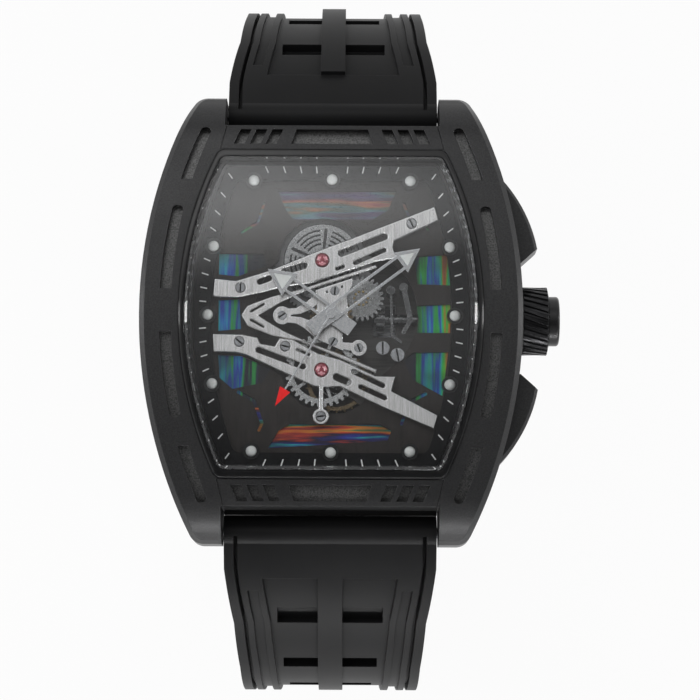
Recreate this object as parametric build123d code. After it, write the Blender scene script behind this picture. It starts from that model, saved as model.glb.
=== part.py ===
from build123d import *
import os
from math import asin, atan2, cos, degrees, hypot, pi, radians, sin, sqrt

# A tonneau skeleton watch, dial up, standing on its curled rubber strap.
# Millimetres. The origin is the centre of the case back's outer face, +Z leaves the crystal,
# +Y points to twelve o'clock and +X to the crown.

# Overruns and clearances
overrun = 1.0
far_reach = 70.0
running_fit = 0.05
stem_holder_gap = 0.15
pinion_room = 0.3
well_margin = 0.5
seat_gap = 0.03
wheel_gap = 0.1

# The scale of places that were read from the photograph
mm_per_pixel = 0.115
pixel_column = 331.0
view_tilt_degrees = 8.0

# Case outline and its arched front
case_half_width = 22.0
case_side_radius = 58.0
lug_reach = 26.3
lug_corner = 1.7
lug_gap_half = 12.5
lug_length = 4.1
case_end = lug_reach - lug_length
case_bottom = 0.6
lug_underside_rise = 1.5
arch_radius = 110.0
lug_bend_start = 20.5
lug_bend_radius = 8.1
lug_slope_degrees = 50.0
bezel_top = 12.8
bezel_thickness = 1.6
bezel_edge_bevel = 0.6

# Bezel opening, rail slots and end bands
bezel_rail_width = 4.5
band_length = 3.05
opening_half_width = case_half_width - bezel_rail_width
opening_half_height = case_end - band_length
opening_side_radius = 44.0
opening_corner = 1.2
rail_slot_inset = 3.0
rail_slot_line = case_half_width - rail_slot_inset
rail_slot_width = 1.3
rail_slot_depth = 0.9
rail_slot_radius = 55.0
rail_slot_round = 0.55
inner_slot_start = 2.5
inner_slot_end = 12.3
outer_slot_start = 15.5
outer_slot_end_inset = 0.35
outer_slot_end = case_end - outer_slot_end_inset
band_outer_half = 12.25
band_inner_half = 13.0
band_thickness = 0.95
band_drop = 0.08
band_slot_inset = 0.7
band_slot_rim = 0.55
band_slot_inner = opening_half_height + band_slot_inset
band_slot_outer = case_end - band_slot_rim
band_centre_slot_inner = 4.75
band_centre_slot_outer = 4.15
band_side_slots = ((5.7, 1.25), (7.55, 1.25), (9.4, 1.25))
band_slot_lean = 0.75

# Crystal, its polished ring and the cavity below them
ring_width_side = 0.8
ring_width_end = 1.05
crystal_half_width = opening_half_width - ring_width_side
crystal_half_height = opening_half_height - ring_width_end
crystal_side_radius = 43.0
crystal_corner = 0.9
crystal_rise = 1.0
crystal_top = bezel_top + crystal_rise
crystal_thickness = 1.6
crystal_edge_bevel = 0.3
ring_rise = 0.3
ring_bevel = 0.15
ring_top = bezel_top + ring_rise
crystal_ledge_side = 0.6
crystal_ledge_end = 0.4
cavity_half_width = crystal_half_width - crystal_ledge_side
cavity_half_height = crystal_half_height - crystal_ledge_end
cavity_side_radius = 43.0
cavity_corner = 1.0

# Case back
back_margin_side = 3.6
back_margin_end = 2.0
back_half_width = case_half_width - back_margin_side
back_half_height = case_end - back_margin_end
back_side_radius = 47.0
back_corner = 3.0
back_thickness = 1.4
window_margin = 6.4
window_radius = back_half_width - window_margin
window_glass_thickness = 0.9
window_ledge = 0.9
gasket_inner_offset = 0.3
gasket_width = 0.5
gasket_thickness = 0.48
back_screw_inset_side = 1.0
back_screw_inset_end = 0.9
back_screw_side_y = 5.0
back_screw_end_x = 8.0
back_screw_places = ((back_half_width - back_screw_inset_side, back_screw_side_y),
                     (back_screw_end_x, back_half_height - back_screw_inset_end))
back_screw_head_radius = 0.62
back_screw_head_depth = 0.6
back_screw_sink = 0.1
back_screw_shank_radius = 0.35
back_screw_length = 2.8
screw_slot_width = 0.2
screw_slot_depth = 0.3

# Crown and its stem
crown_axis_z = 5.2
crown_gap = 0.25
crown_start = case_half_width + crown_gap
crown_length = 3.1
crown_radius = 4.0
crown_ribs = 30
crown_rib_depth = 0.28
crown_rib_slant_degrees = 19.0
crown_shoulder = 0.45
crown_cap_radius = 2.9
crown_cap_length = 1.2
crown_cap_round = 0.35
crown_pull = 1.0
tube_radius = 1.5
tube_bore = 0.68
tube_inset = 0.1
tube_start = cavity_half_width + tube_inset
tube_end = case_half_width - tube_inset
stem_radius = 0.6
stem_start = 5.0
stem_pinion_start = 5.2
stem_pinion_length = 1.0
stem_pinion_radius = 1.6
stem_pinion_root = 1.25
stem_pinion_teeth = 14
stem_groove_start = 11.0
stem_groove_length = 0.7
stem_groove_radius = 0.38
yoke_thickness = 0.5
yoke_half_width = 1.5
yoke_low = 4.5
yoke_high = 6.5

# Pushers, seen from above on the upper right flank
pusher_low = 3.2
pusher_high = 7.4
pusher_bottom_y = 6.5
pusher_top_y = 17.0
pusher_tip_proud = 2.0
pusher_tip_x = case_half_width + pusher_tip_proud
pusher_tip_y = 8.3
pusher_facet_x = case_half_width
pusher_mid_proud = 0.9
pusher_mid_x = case_half_width + pusher_mid_proud
pusher_mid_y = 11.9
pusher_top_inset = 2.5
pusher_inner_low_inset = 1.8
pusher_inner_high_inset = 4.1
pusher_top_x = case_half_width - pusher_top_inset
pusher_inner_low_x = case_half_width - pusher_inner_low_inset
pusher_inner_high_x = case_half_width - pusher_inner_high_inset
pusher_travel = 0.8
pusher_side_gap = 0.15
pusher_edge_bevel = 0.35
pusher_stem_y = 11.0
pusher_stem_radius = 0.9
pusher_stem_start = cavity_half_width - tube_inset

# Movement levels, from the back to the dial
main_plate_low = 3.4
main_plate_thickness = 1.0
main_plate_high = main_plate_low + main_plate_thickness
holder_width_side = 0.7
holder_width_end = 0.9
main_plate_half_width = cavity_half_width - holder_width_side
main_plate_half_height = cavity_half_height - holder_width_end
holder_low = 2.6
holder_high = 7.1
foil_thickness = 0.2
dial_plate_thickness = 0.3
chapter_thickness = 1.1
tick_height = 0.06
bridge_low = 7.9
bridge_thickness = 0.7
rail_thickness = 0.5
bridge_bevel = 0.13

# Dial plate and chapter ring
dial_gap_side = 0.15
dial_gap_end = 0.2
dial_half_width = cavity_half_width - dial_gap_side
dial_half_height = cavity_half_height - dial_gap_end
chapter_width_side = 2.0
chapter_width_end = 1.6
chapter_inner_half_width = dial_half_width - chapter_width_side
chapter_inner_half_height = dial_half_height - chapter_width_end
chapter_inner_radius = 46.0
tick_inset_side = 1.05
tick_inset_end = 0.45
tick_line_half_width = dial_half_width - tick_inset_side
tick_line_half_height = dial_half_height - tick_inset_end
tick_line_radius = 45.0
tick_length = 0.8
tick_width = 0.14
marker_inset_end = 1.6
marker_inset_side = 1.65
marker_corner_x = 9.1
marker_corner_drop = 0.15
marker_flank_y = 8.0
marker_flank_drop = 0.6
marker_end_y = dial_half_height - marker_inset_end
marker_side_x = dial_half_width - marker_inset_side
marker_places = ((0.0, marker_end_y), (marker_corner_x, marker_end_y - marker_corner_drop),
                 (marker_side_x - marker_flank_drop, marker_flank_y), (marker_side_x, 0.0))
marker_radius = 0.62
marker_height = 0.62
marker_round = 0.5
cup_radius = 0.95
cup_height = 0.28
centre_well_radius = 9.0

# Rotor
rotor_side_room = 3.1
rotor_radius = cavity_half_width - rotor_side_room
rotor_rim_width = 2.6
rotor_low = 1.8
rotor_web_thickness = 0.4
rotor_rim_thickness = 1.2
rotor_hub_radius = 2.2
bearing_radius = 1.3
rotor_post_radius = 0.7
rotor_screw_thickness = 0.3
rotor_cap_radius = 1.04
rotor_slot_inset = 6.2
rotor_slot_radius = rotor_radius - rotor_slot_inset
rotor_slot_width = 3.9
rotor_slot_degrees = ((-165, -130), (-115, -65), (-50, -15))

# Going train
addendum_share = 0.8
dedendum_share = 0.9
half_share = 0.5
barrel_x = -1.08
barrel_y = 6.55
barrel_radius = 4.55
barrel_low = 4.6
barrel_gear_thickness = 0.4
barrel_high = 6.6
barrel_teeth = 72
centre_pinion_teeth = 12
barrel_cover_radius = 4.43
barrel_cover_thickness = 0.25
cover_spokes = 5
cover_spoke_turn_degrees = 12.0
cover_spoke_inner = 1.77
cover_spoke_outer = 3.8
cover_spoke_width = 0.39
cover_slot_width = 0.24
cover_slot_start_degrees = 10.0
cover_slot_end_degrees = 60.0
barrel_arbor_radius = 0.45
lower_wheel_x = -1.08
lower_wheel_y = -6.28
lower_wheel_teeth = 35
centre_gear_teeth = 20
lower_wheel_low = 7.4
lower_wheel_thickness = 0.3
lower_rim_radius = 3.3
lower_spokes = 5
lower_spoke_width = 0.35
lower_arbor_radius = 0.4
crown_wheel_x = 3.45
crown_wheel_y = 2.24
crown_wheel_teeth = 25
crown_wheel_radius = 2.65
crown_wheel_root = 2.2
crown_wheel_ring_outer = 1.31
crown_wheel_ring_inner = 1.06
crown_wheel_low = 6.95
crown_wheel_thickness = 0.3
crown_wheel_post_radius = 0.5
balance_x = 0.67
balance_y = -7.3
balance_radius = 3.5
balance_rim_width = 0.45
balance_low = 5.9
balance_rim_thickness = 0.7
balance_screws = 24
balance_screw_radius = 0.16
balance_screw_length = 0.22
staff_radius = 0.25
balance_hub_radius = 0.75
hairspring_low = 5.2
hairspring_height = 0.25
hairspring_inner_radius = 0.45
hairspring_pitch = 0.55
hairspring_strip = 0.1
hairspring_turns = 3.5
hairspring_steps_per_turn = 24
stud_radius = 0.2
cock_low = 6.75
cock_thickness = 0.35
cock_width = 1.5
cock_angle_degrees = -35.0
cock_foot_room = 0.9
cock_pillar_radius = 0.5

# Hands
seconds_staff_radius = 0.2
cannon_radius = 0.5
hour_tube_radius = 0.8
hour_level = 9.3
minute_level = 9.85
seconds_level = 10.4
hand_thickness = 0.25
lume_proud = 0.04
hour_angle_degrees = 305.5
minute_angle_degrees = 53.3
seconds_angle_degrees = 210.6
hour_tip = 9.05
hour_arrow_start = 5.9
hour_arrow_half = 1.6
minute_tip = 12.75
minute_arrow_start = 9.95
minute_arrow_half = 1.42
hand_frame = 0.42
rail_offset = 0.78
hand_rail_width = 0.32
tail_reach = 3.0
tail_front = 1.0
tail_half = 0.88
seconds_tip = 12.5
seconds_arrow_start = 10.25
seconds_arrow_half = 0.68
seconds_stem_width = 0.2
seconds_hub_radius = 0.6
seconds_tail = 0.9

# Strap
hinge_inset = 1.6
hinge_y = lug_reach - hinge_inset
hinge_z = 3.4
spring_bar_radius = 0.62
spring_bar_pivot_radius = 0.42
spring_bar_pivot_length = 0.8
strap_end_radius = 1.9
strap_thickness = 3.3
strap_side_gap = 0.15
strap_half_width_lug = lug_gap_half - strap_side_gap
strap_half_width_shoulder = 11.3
strap_half_width_side = 10.8
strap_half_width_floor = 9.6
strap_shoulder_level = -1.0
strap_side_level = -8.0
strap_floor_level = -54.0
strap_start_slope_degrees = 18.0
strap_side_bend = 23.6
tail_floor_bend = 33.0
tail_straight = 33.0
buckle_floor_bend = 18.6
buckle_straight = 20.3
edge_rail_width = 1.15
edge_groove_width = 0.45
edge_groove_depth = 1.0
inner_ridge_width = 0.75
side_strip_width = 1.2
side_strip_depth = 0.45
side_strip_start = 6.5
panel_depth = 0.6
panel_start = 5.0
rib_half_width = 1.45
rib_proud = 0.6
rib_end = 52.0
window_first = 10.2
window_pitch = 8.6
window_length = 2.3
window_depth = 1.7
window_half_width = 6.2
window_narrowing = 0.6
buckle_window_count = 5
tail_window_count = 6
tail_tip_round = 6.5
hole_first = 66.0
hole_pitch = 6.5
hole_count = 7
hole_length = 3.0
hole_width = 1.7

# Buckle and keepers
buckle_bar_radius = 0.75
buckle_eye_radius = 1.65
frame_side_room = 0.35
frame_side_width = 1.85
frame_inner_half = strap_half_width_side - frame_side_room
frame_outer_half = frame_inner_half + frame_side_width
frame_reach = 12.0
frame_cross_width = 2.2
frame_thickness = 2.2
frame_corner = 2.0
tongue_length = 11.9
tongue_width = 2.1
tongue_thickness = 0.9
tongue_slot_half = 1.35
tongue_slot_length = 3.2
tongue_eye_radius = 1.35
keeper_wall = 1.2
keeper_round = 0.95
keeper_length = 4.2
keeper_tail_room = 3.6
fixed_keeper_place = 71.5
free_keeper_place = 60.0
keeper_side_gap = 0.2

# Places of the bridges, as pixels of the photograph
bridge_row = 315.6
plate_row = 317.3
upper_bridge_pixels = ((210.9, 278.3), (234.9, 280.8), (267.6, 270.6), (317.6, 250.2), (350, 238),
                       (435.9, 204.3), (441, 218.1), (394.1, 240), (393, 246), (396, 257.3),
                       (374.7, 261.2), (309, 283.2), (283, 286.8), (262, 292.4), (236, 297.6),
                       (210.9, 297.1))
upper_slot_pixels = (((341, 252.6), (384, 235.6), 6.4), ((355, 262.0), (384, 249.2), 4.0),
                     ((336.5, 268.4), (342.5, 266.0), 3.0), ((259, 281.6), (268, 278.2), 5.6),
                     ((284, 271.2), (303, 265.2), 6.4))
upper_screw_pixels = ((239.3, 288.0), (411.7, 222.5))
lower_bridge_pixels = ((210, 334.2), (240, 334.6), (257, 338), (260, 344), (274, 346.4),
                       (279, 338.4), (292, 339.6), (318, 353.5), (340, 359.5), (376, 375.6),
                       (395.7, 376), (392.1, 390.6), (439.4, 414.8), (435.1, 428.7), (385, 408),
                       (340, 386.6), (326, 387.6), (314, 386.4), (245, 355.4), (234, 352.8),
                       (210, 352.4))
lower_slot_pixels = (((258, 350.2), (303, 366.6), 5.2), ((354, 371.6), (383, 385.2), 4.4),
                     ((336.5, 377), (348, 381.8), 6.4), ((361, 386.6), (385, 397.4), 4.4),
                     ((297, 349.6), (309, 354.8), 2.2))
lower_screw_pixels = ((238.8, 342.1), (284.9, 346.6), (321.2, 416.3))
leg_start_pixel = (321.2, 384.0)
leg_boss_pixel = (321.2, 416.3)
leg_width_pixels = 5.0
leg_boss_radius_pixels = 8.5
rail_outer_pixels = ((239.7, 315.4), (246, 305.6), (271, 296.2), (300, 288.6), (376, 263.6),
                     (377, 266.8), (306, 290.2), (281, 301.6), (257.5, 315.6), (281, 329.6),
                     (306, 341), (344, 355), (377, 369), (376, 372.6), (336, 356.4), (300, 341.4),
                     (271, 335.4), (246, 325.8))
rail_slot_pixels = (((250.2, 311.4), (262.5, 304.2), 1.7), ((250.2, 320.0), (262.5, 326.6), 1.7))
jewel_pixels = ((321.6, 260.0), (321.5, 370.0))
jewel_radius = 0.72
jewel_height = 0.16
jewel_round = 0.14
wishbone_boss_pixel = (281.5, 315.4)
wishbone_arm_pixels = (((283, 309), (296, 308), (306, 302), (319, 290), (325, 297), (310, 309.5),
                        (300, 313.6), (286, 315)),
                       ((283, 322), (296, 323.4), (304, 328), (317, 339), (323, 333), (311, 321),
                        (300, 317.2), (286, 316)),
                       ((336, 342), (357, 342.8), (357, 351.6), (339, 348)))
wishbone_plate_pixels = ((315, 290.2), (352, 278), (352, 285), (346, 294), (347.5, 306),
                         (347.5, 322), (342, 333), (343, 350.5), (315, 338), (316.5, 322),
                         (316.5, 303))
wishbone_screw_pixels = ((281.5, 315.4), (333.0, 341.5), (334.5, 290.5), (358.8, 347.6))
wishbone_hole_pixels = ((326.5, 291.6), (341.6, 286.2))
boss_radius_pixels = 9.0
lug_radius_pixels = 7.9
bridge_screw_radius = 0.5
bridge_screw_proud = 0.1
screw_turn_first_degrees = 90
screw_turn_step_degrees = 25
dial_post_pixels = ((239.3, 288.0), (411.7, 222.5), (238.8, 342.1), (321.2, 416.3))
dial_post_radius = 0.7
rail_apex_pixel = (245.8, 315.6)
rail_apex_radius = 0.4
plate_post_pixels = ((284.9, 346.6), (281.5, 315.4), (358.8, 347.6))
plate_post_radius = 0.5
rail_pin_pixels = ((374, 266.2), (373, 369.6))
rail_pin_radius = 0.2
well_offset_x = 2.2
well_offset_y = 0.3
well_offset_radius = 7.8
dial_screw_pixels = ((383.0, 347.0), (397.9, 353.6))
dial_screw_radius = 0.78
dial_screw_turns_degrees = (90, 100)
setting_lever_pixels = (((404, 285), (411, 318), 5.0), ((411, 318), (404, 330), 4.0))
yoke_spring_pixels = (((391, 288), (392.5, 334), 2.4), ((392.5, 334), (401, 340), 2.4))
lever_thickness = 0.35
lever_low = 7.0
lever_post_radius = 0.5

# Windows through the dial plate, as pixels of the photograph
dial_window_pixels = (
    ((217, 254), (262, 254), (266, 266), (236, 277), (217, 275)),
    ((217, 301), (238, 300), (240, 330), (217, 332)),
    ((217, 356), (240, 357), (270, 369), (262, 384), (232, 390), (219, 379)),
    ((414, 256), (449, 254), (451, 285), (418, 284)),
    ((416, 306), (451, 304), (451, 333), (417, 333), (419, 318)),
    ((404, 361), (413, 353), (449, 352), (443, 396), (413, 380)),
    ((276, 190), (396, 190), (388, 209), (372, 219), (292, 219), (284, 209)),
    ((279, 431), (290, 425), (380, 425), (392, 431), (388, 441), (268, 449)))
flourish_pixels = (((238, 393), (254, 402), 3.6), ((254, 402), (262, 424), 3.4),
                   ((262, 424), (259, 431), 3.0),
                   ((410, 402), (426, 394), 3.6), ((402, 424), (410, 402), 3.2),
                   ((240, 232), (256, 222), 3.0), ((256, 222), (262, 203), 3.0),
                   ((404, 203), (412, 222), 3.0), ((412, 222), (428, 228), 3.0))


def polygon_face(points):
    """Flat face through the points, taken anticlockwise so that it faces up."""
    points = list(points)
    following = points[1:] + points[:1]
    area = sum(x * next_y - next_x * y for (x, y), (next_x, next_y) in zip(points, following))
    if area < 0:
        points.reverse()
    return Polygon(*points, align=None)


def plate(face, low, high):
    """Straight solid over a face, between two levels."""
    return extrude(Pos(0, 0, low) * face, amount=high - low, dir=(0, 0, 1))


def disc(radius, low, high, x=0, y=0):
    """Upright round solid between two levels."""
    return Pos(x, y, low) * Cylinder(radius, high - low, align=(Align.CENTER, Align.CENTER, Align.MIN))


def washer(radius, bore, low, high, x=0, y=0):
    """Upright ring between two levels."""
    return disc(radius, low, high, x, y) - disc(bore, low - overrun, high + overrun, x, y)


def rod_x(radius, start, end, y=0, z=0):
    """Round solid along X."""
    turned = Rot(0, 90, 0) * Cylinder(radius, end - start, align=(Align.CENTER, Align.CENTER, Align.MIN))
    return Pos(start, y, z) * turned


def block(low, high):
    """Box between two corners."""
    size = [top - bottom for bottom, top in zip(low, high)]
    centre = [(top + bottom) / 2 for bottom, top in zip(low, high)]
    return Pos(*centre) * Box(*size)


def link_face(start, end, width):
    """Flat bar with round ends between two points."""
    length = hypot(end[0] - start[0], end[1] - start[1])
    angle = degrees(atan2(end[1] - start[1], end[0] - start[0]))
    middle = ((start[0] + end[0]) / 2, (start[1] + end[1]) / 2)
    bar = Pos(*middle) * Rot(0, 0, angle) * Rectangle(length, width)
    return bar + Pos(*start) * Circle(width / 2) + Pos(*end) * Circle(width / 2)


def seen(pixel, row):
    """Place of a pixel on a level whose centre shows at the given row."""
    return ((pixel[0] - pixel_column) * mm_per_pixel,
            (row - pixel[1]) * mm_per_pixel / cos(radians(view_tilt_degrees)))


def seen_links(links, row):
    """Bars given by two pixels and a width in pixels."""
    return [link_face(seen(start, row), seen(end, row), width * mm_per_pixel) for start, end, width in links]


def joined(shapes):
    """All the shapes as one."""
    whole = shapes[0]
    for shape in shapes[1:]:
        whole = whole + shape
    return whole


def tonneau(half_width, half_height, side_radius, corner):
    """Barrel outline: two bowed sides and two straight ends, with round corners."""
    end_half = half_width - side_radius + sqrt(side_radius ** 2 - half_height ** 2)
    right = ThreePointArc((end_half, half_height), (half_width, 0), (end_half, -half_height))
    bottom = Line((end_half, -half_height), (-end_half, -half_height))
    left = ThreePointArc((-end_half, -half_height), (-half_width, 0), (-end_half, half_height))
    top = Line((-end_half, half_height), (end_half, half_height))
    face = make_face([right, bottom, left, top])
    if corner > 0:
        face = fillet(face.vertices(), corner)
    return face


def under_arch(level):
    """The space under the case's arched front, whose surface stands at level over the centre.

    One long arc spans the middle; a tighter arc and a straight slope carry it down over the lugs."""
    drop = bezel_top - level
    start = asin(lug_bend_start / arch_radius)
    end = radians(lug_slope_degrees)
    middle = (start + end) / 2
    bend_y = (arch_radius - lug_bend_radius) * sin(start)
    bend_z = bezel_top - arch_radius + (arch_radius - lug_bend_radius) * cos(start)
    radius = lug_bend_radius - drop
    first, halfway, last = [(bend_y + radius * sin(angle), bend_z + radius * cos(angle))
                            for angle in (start, middle, end)]
    far = (last[0] + far_reach * cos(end), last[1] - far_reach * sin(end))
    base = -2 * far_reach
    edges = [ThreePointArc((-first[0], first[1]), (0, level), first), ThreePointArc(first, halfway, last),
             Line(last, far), Line(far, (far[0], base)), Line((far[0], base), (-far[0], base)),
             Line((-far[0], base), (-far[0], far[1])), Line((-far[0], far[1]), (-last[0], last[1])),
             ThreePointArc((-last[0], last[1]), (-halfway[0], halfway[1]), (-first[0], first[1]))]
    return extrude(Plane.YZ * make_face(edges), amount=far_reach, both=True)


def solid_gear(teeth, root, tip, low, high, x=0, y=0, phase=0.0):
    """Spur gear with flat-topped teeth as one polygon."""
    tooth_shares = ((-0.34, root), (-0.17, tip), (0.17, tip), (0.34, root))
    points = []
    for tooth in range(teeth):
        for share, radius in tooth_shares:
            angle = 2 * pi * (tooth + share + phase) / teeth
            points.append((x + radius * cos(angle), y + radius * sin(angle)))
    return plate(polygon_face(points), low, high)


def slotted_screw(radius, top, head_depth, shank_radius, bottom, x, y, turn=0.0):
    """Cheese-head screw with its slot, standing on Z."""
    screw = disc(radius, top - head_depth, top, x, y) + disc(shank_radius, bottom, top - head_depth, x, y)
    slot = Pos(x, y, top) * Rot(0, 0, turn) * Box(4 * radius, screw_slot_width, 2 * screw_slot_depth)
    return screw - slot


def four_ways(places):
    """Each place mirrored to every quarter, once."""
    found = []
    for x, y in places:
        for place in ((x, y), (-x, y), (x, -y), (-x, -y)):
            if place not in found:
                found.append(place)
    return found


def lug_gaps():
    """Both spaces between the lugs, for the strap ends."""
    gap = Rectangle(2 * lug_gap_half, lug_reach + overrun - case_end, align=(Align.CENTER, Align.MIN))
    return Pos(0, case_end) * gap + Pos(0, -case_end) * Rot(0, 0, 180) * gap


def pusher_outline(inner_shift, side_shift):
    """Plan of the upper pusher; shifted inwards it gives the pocket."""
    low_y = pusher_bottom_y - side_shift
    high_y = pusher_top_y + side_shift
    outer = ThreePointArc((pusher_top_x, high_y), (pusher_mid_x, pusher_mid_y), (pusher_tip_x, pusher_tip_y))
    facet = Line((pusher_tip_x, pusher_tip_y), (pusher_facet_x, low_y))
    lower = Line((pusher_facet_x, low_y), (pusher_inner_low_x - inner_shift, low_y))
    inner = Line((pusher_inner_low_x - inner_shift, low_y), (pusher_inner_high_x - inner_shift, high_y))
    upper = Line((pusher_inner_high_x - inner_shift, high_y), (pusher_top_x, high_y))
    return make_face([outer, facet, lower, inner, upper])


def pusher_pocket():
    """Room in the case flank for a pusher and its travel."""
    face = pusher_outline(pusher_travel + pusher_side_gap, pusher_side_gap)
    face = face + Pos(pusher_travel, 0) * face
    face = face + Pos(2 * pusher_travel, 0) * face
    pocket = plate(face, pusher_low - pusher_side_gap, pusher_high + pusher_side_gap)
    bore = rod_x(pusher_stem_radius + running_fit, 0, case_half_width, pusher_stem_y, crown_axis_z)
    bore = bore & block((cavity_half_width / 2, 0, 0), (far_reach, far_reach, bezel_top))
    return pocket + bore


def make_mid_case():
    mid_top = bezel_top - bezel_thickness
    outline = tonneau(case_half_width, lug_reach, case_side_radius, lug_corner) - lug_gaps()
    body = plate(outline, case_bottom, bezel_top) & under_arch(mid_top)
    body = body - plate(tonneau(cavity_half_width, cavity_half_height, cavity_side_radius, cavity_corner),
                        0, bezel_top)
    body = body - plate(tonneau(back_half_width + seat_gap, back_half_height + seat_gap, back_side_radius,
                                back_corner), 0, back_thickness)
    body = body - gasket_ring(seat_gap)
    wedge_points = ((case_end, case_bottom - overrun), (case_end, case_bottom),
                    (lug_reach, case_bottom + lug_underside_rise),
                    (lug_reach + overrun, case_bottom + lug_underside_rise),
                    (lug_reach + overrun, case_bottom - overrun))
    wedge = extrude(Plane.YZ * polygon_face(wedge_points), amount=case_half_width, both=True)
    body = body - wedge - mirror(wedge, about=Plane.XZ)
    pivot_end = lug_gap_half + spring_bar_pivot_length + running_fit
    for side in (1, -1):
        body = body - rod_x(spring_bar_pivot_radius + running_fit, -pivot_end, pivot_end,
                            side * hinge_y, hinge_z)
    body = body - rod_x(tube_radius + seat_gap, 0, far_reach, z=crown_axis_z)
    body = body - pusher_pocket() - mirror(pusher_pocket(), about=Plane.XZ)
    for x, y in four_ways(back_screw_places):
        body = body - disc(back_screw_shank_radius + seat_gap, 0, back_screw_length + seat_gap, x, y)
    return body


def rail_slot(start, end):
    """One sunken slot in the right bezel rail, between two distances from the centre line."""
    half = rail_slot_width / 2
    ring = (tonneau(rail_slot_line + half, lug_reach, rail_slot_radius, 0)
            - tonneau(rail_slot_line - half, lug_reach, rail_slot_radius, 0))
    window = Pos(0, start) * Rectangle(case_half_width, end - start, align=(Align.MIN, Align.MIN))
    slot = ring & window
    return fillet(slot.vertices().sort_by(Axis.Y)[-2:], rail_slot_round)


def band_outline(shrink):
    """Plan of the upper end band between the bezel rails."""
    return polygon_face(((-band_inner_half + shrink, opening_half_height + shrink),
                         (band_inner_half - shrink, opening_half_height + shrink),
                         (band_outer_half - shrink, case_end - shrink),
                         (-band_outer_half + shrink, case_end - shrink)))


def front_edges(solid, level):
    """Edges that lie in the arched surface which stands at level over the centre."""
    centre_level = bezel_top - arch_radius
    radius = level - centre_level
    found = []
    for edge in solid.edges():
        places = [edge @ share for share in (0, half_share, 1)]
        if all(abs(hypot(place.Y, place.Z - centre_level) - radius) < seat_gap for place in places):
            found.append(edge)
    return found


def outer_front_edges(bezel):
    """The two long edges where the bezel's front meets its flanks."""
    found = []
    for edge in bezel.edges():
        middle = edge @ half_share
        if abs(middle.X) > rail_slot_line and abs(middle.Y) < overrun and middle.Z > bezel_top - overrun:
            found.append(edge)
    return found


def make_bezel():
    mid_top = bezel_top - bezel_thickness
    outline = tonneau(case_half_width, lug_reach, case_side_radius, lug_corner) - lug_gaps()
    outline = outline - tonneau(opening_half_width, opening_half_height, opening_side_radius, opening_corner)
    body = (plate(outline, case_bottom, bezel_top + overrun) & under_arch(bezel_top)) - under_arch(mid_top)
    slots = rail_slot(inner_slot_start, inner_slot_end) + rail_slot(outer_slot_start, outer_slot_end)
    slots = slots + mirror(slots, about=Plane.XZ)
    slots = slots + mirror(slots, about=Plane.YZ)
    above = plate(slots, case_bottom, bezel_top + overrun) - under_arch(bezel_top - rail_slot_depth)
    band = plate(band_outline(0), case_bottom, bezel_top + overrun)
    band = (band + mirror(band, about=Plane.XZ)) - under_arch(bezel_top - band_thickness)
    body = chamfer(outer_front_edges(body), bezel_edge_bevel)
    return body - above - band


def make_upper_band():
    body = plate(band_outline(seat_gap), case_bottom, bezel_top) & under_arch(bezel_top - band_drop)
    body = body - under_arch(bezel_top - band_thickness)
    centre = polygon_face(((-band_centre_slot_inner, band_slot_inner),
                           (band_centre_slot_inner, band_slot_inner),
                           (band_centre_slot_outer, band_slot_outer),
                           (-band_centre_slot_outer, band_slot_outer)))
    cuts = [centre]
    for start, width in band_side_slots:
        slot = polygon_face(((start + band_slot_lean, band_slot_inner),
                             (start + width + band_slot_lean, band_slot_inner),
                             (start + width, band_slot_outer), (start, band_slot_outer)))
        cuts = cuts + [slot, mirror(slot, about=Plane.YZ)]
    for cut in cuts:
        body = body - plate(cut, case_bottom, bezel_top)
    return body


def make_crystal_ring():
    mid_top = bezel_top - bezel_thickness
    outer = tonneau(opening_half_width - seat_gap, opening_half_height - seat_gap, opening_side_radius,
                    opening_corner)
    inner = tonneau(crystal_half_width + seat_gap, crystal_half_height + seat_gap, crystal_side_radius,
                    crystal_corner)
    ledge = tonneau(cavity_half_width, cavity_half_height, cavity_side_radius, cavity_corner)
    wall = (plate(outer - inner, case_bottom, crystal_top) & under_arch(ring_top)) - under_arch(mid_top)
    wall = chamfer(front_edges(wall, ring_top), ring_bevel)
    seat = (plate(outer - ledge, case_bottom, crystal_top) & under_arch(crystal_top - crystal_thickness))
    return wall + (seat - under_arch(mid_top))


def make_crystal():
    face = tonneau(crystal_half_width, crystal_half_height, crystal_side_radius, crystal_corner)
    crystal = plate(face, case_bottom, crystal_top + overrun) & under_arch(crystal_top)
    crystal = crystal - under_arch(crystal_top - crystal_thickness)
    return chamfer(front_edges(crystal, crystal_top), crystal_edge_bevel)


def make_case_back():
    body = plate(tonneau(back_half_width, back_half_height, back_side_radius, back_corner), 0, back_thickness)
    body = body - disc(window_radius + seat_gap, -overrun, window_glass_thickness)
    body = body - disc(window_radius - window_ledge, 0, back_thickness + overrun)
    for x, y in four_ways(back_screw_places):
        sink_top = back_screw_sink + back_screw_head_depth
        body = body - disc(back_screw_head_radius + seat_gap, -overrun, sink_top, x, y)
        body = body - disc(back_screw_shank_radius + seat_gap, 0, back_thickness + overrun, x, y)
    return body


def gasket_ring(growth):
    """Flat seal in the case's groove; growth opens the groove round it."""
    inner = cavity_half_width + gasket_inner_offset - growth
    inner_height = cavity_half_height + gasket_inner_offset - growth
    width = gasket_width + 2 * growth
    ring = (tonneau(inner + width, inner_height + width, cavity_side_radius, back_corner)
            - tonneau(inner, inner_height, cavity_side_radius, back_corner))
    return plate(ring, back_thickness, back_thickness + gasket_thickness + growth)


def make_case_back_screws():
    screws = []
    for x, y in four_ways(back_screw_places):
        screw = slotted_screw(back_screw_head_radius, 0, back_screw_head_depth, back_screw_shank_radius,
                              back_screw_sink - back_screw_length, 0, 0, turn=degrees(atan2(y, x)))
        screws.append(Pos(x, y, back_screw_sink) * Rot(180, 0, 0) * screw)
    return joined(screws)


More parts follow.
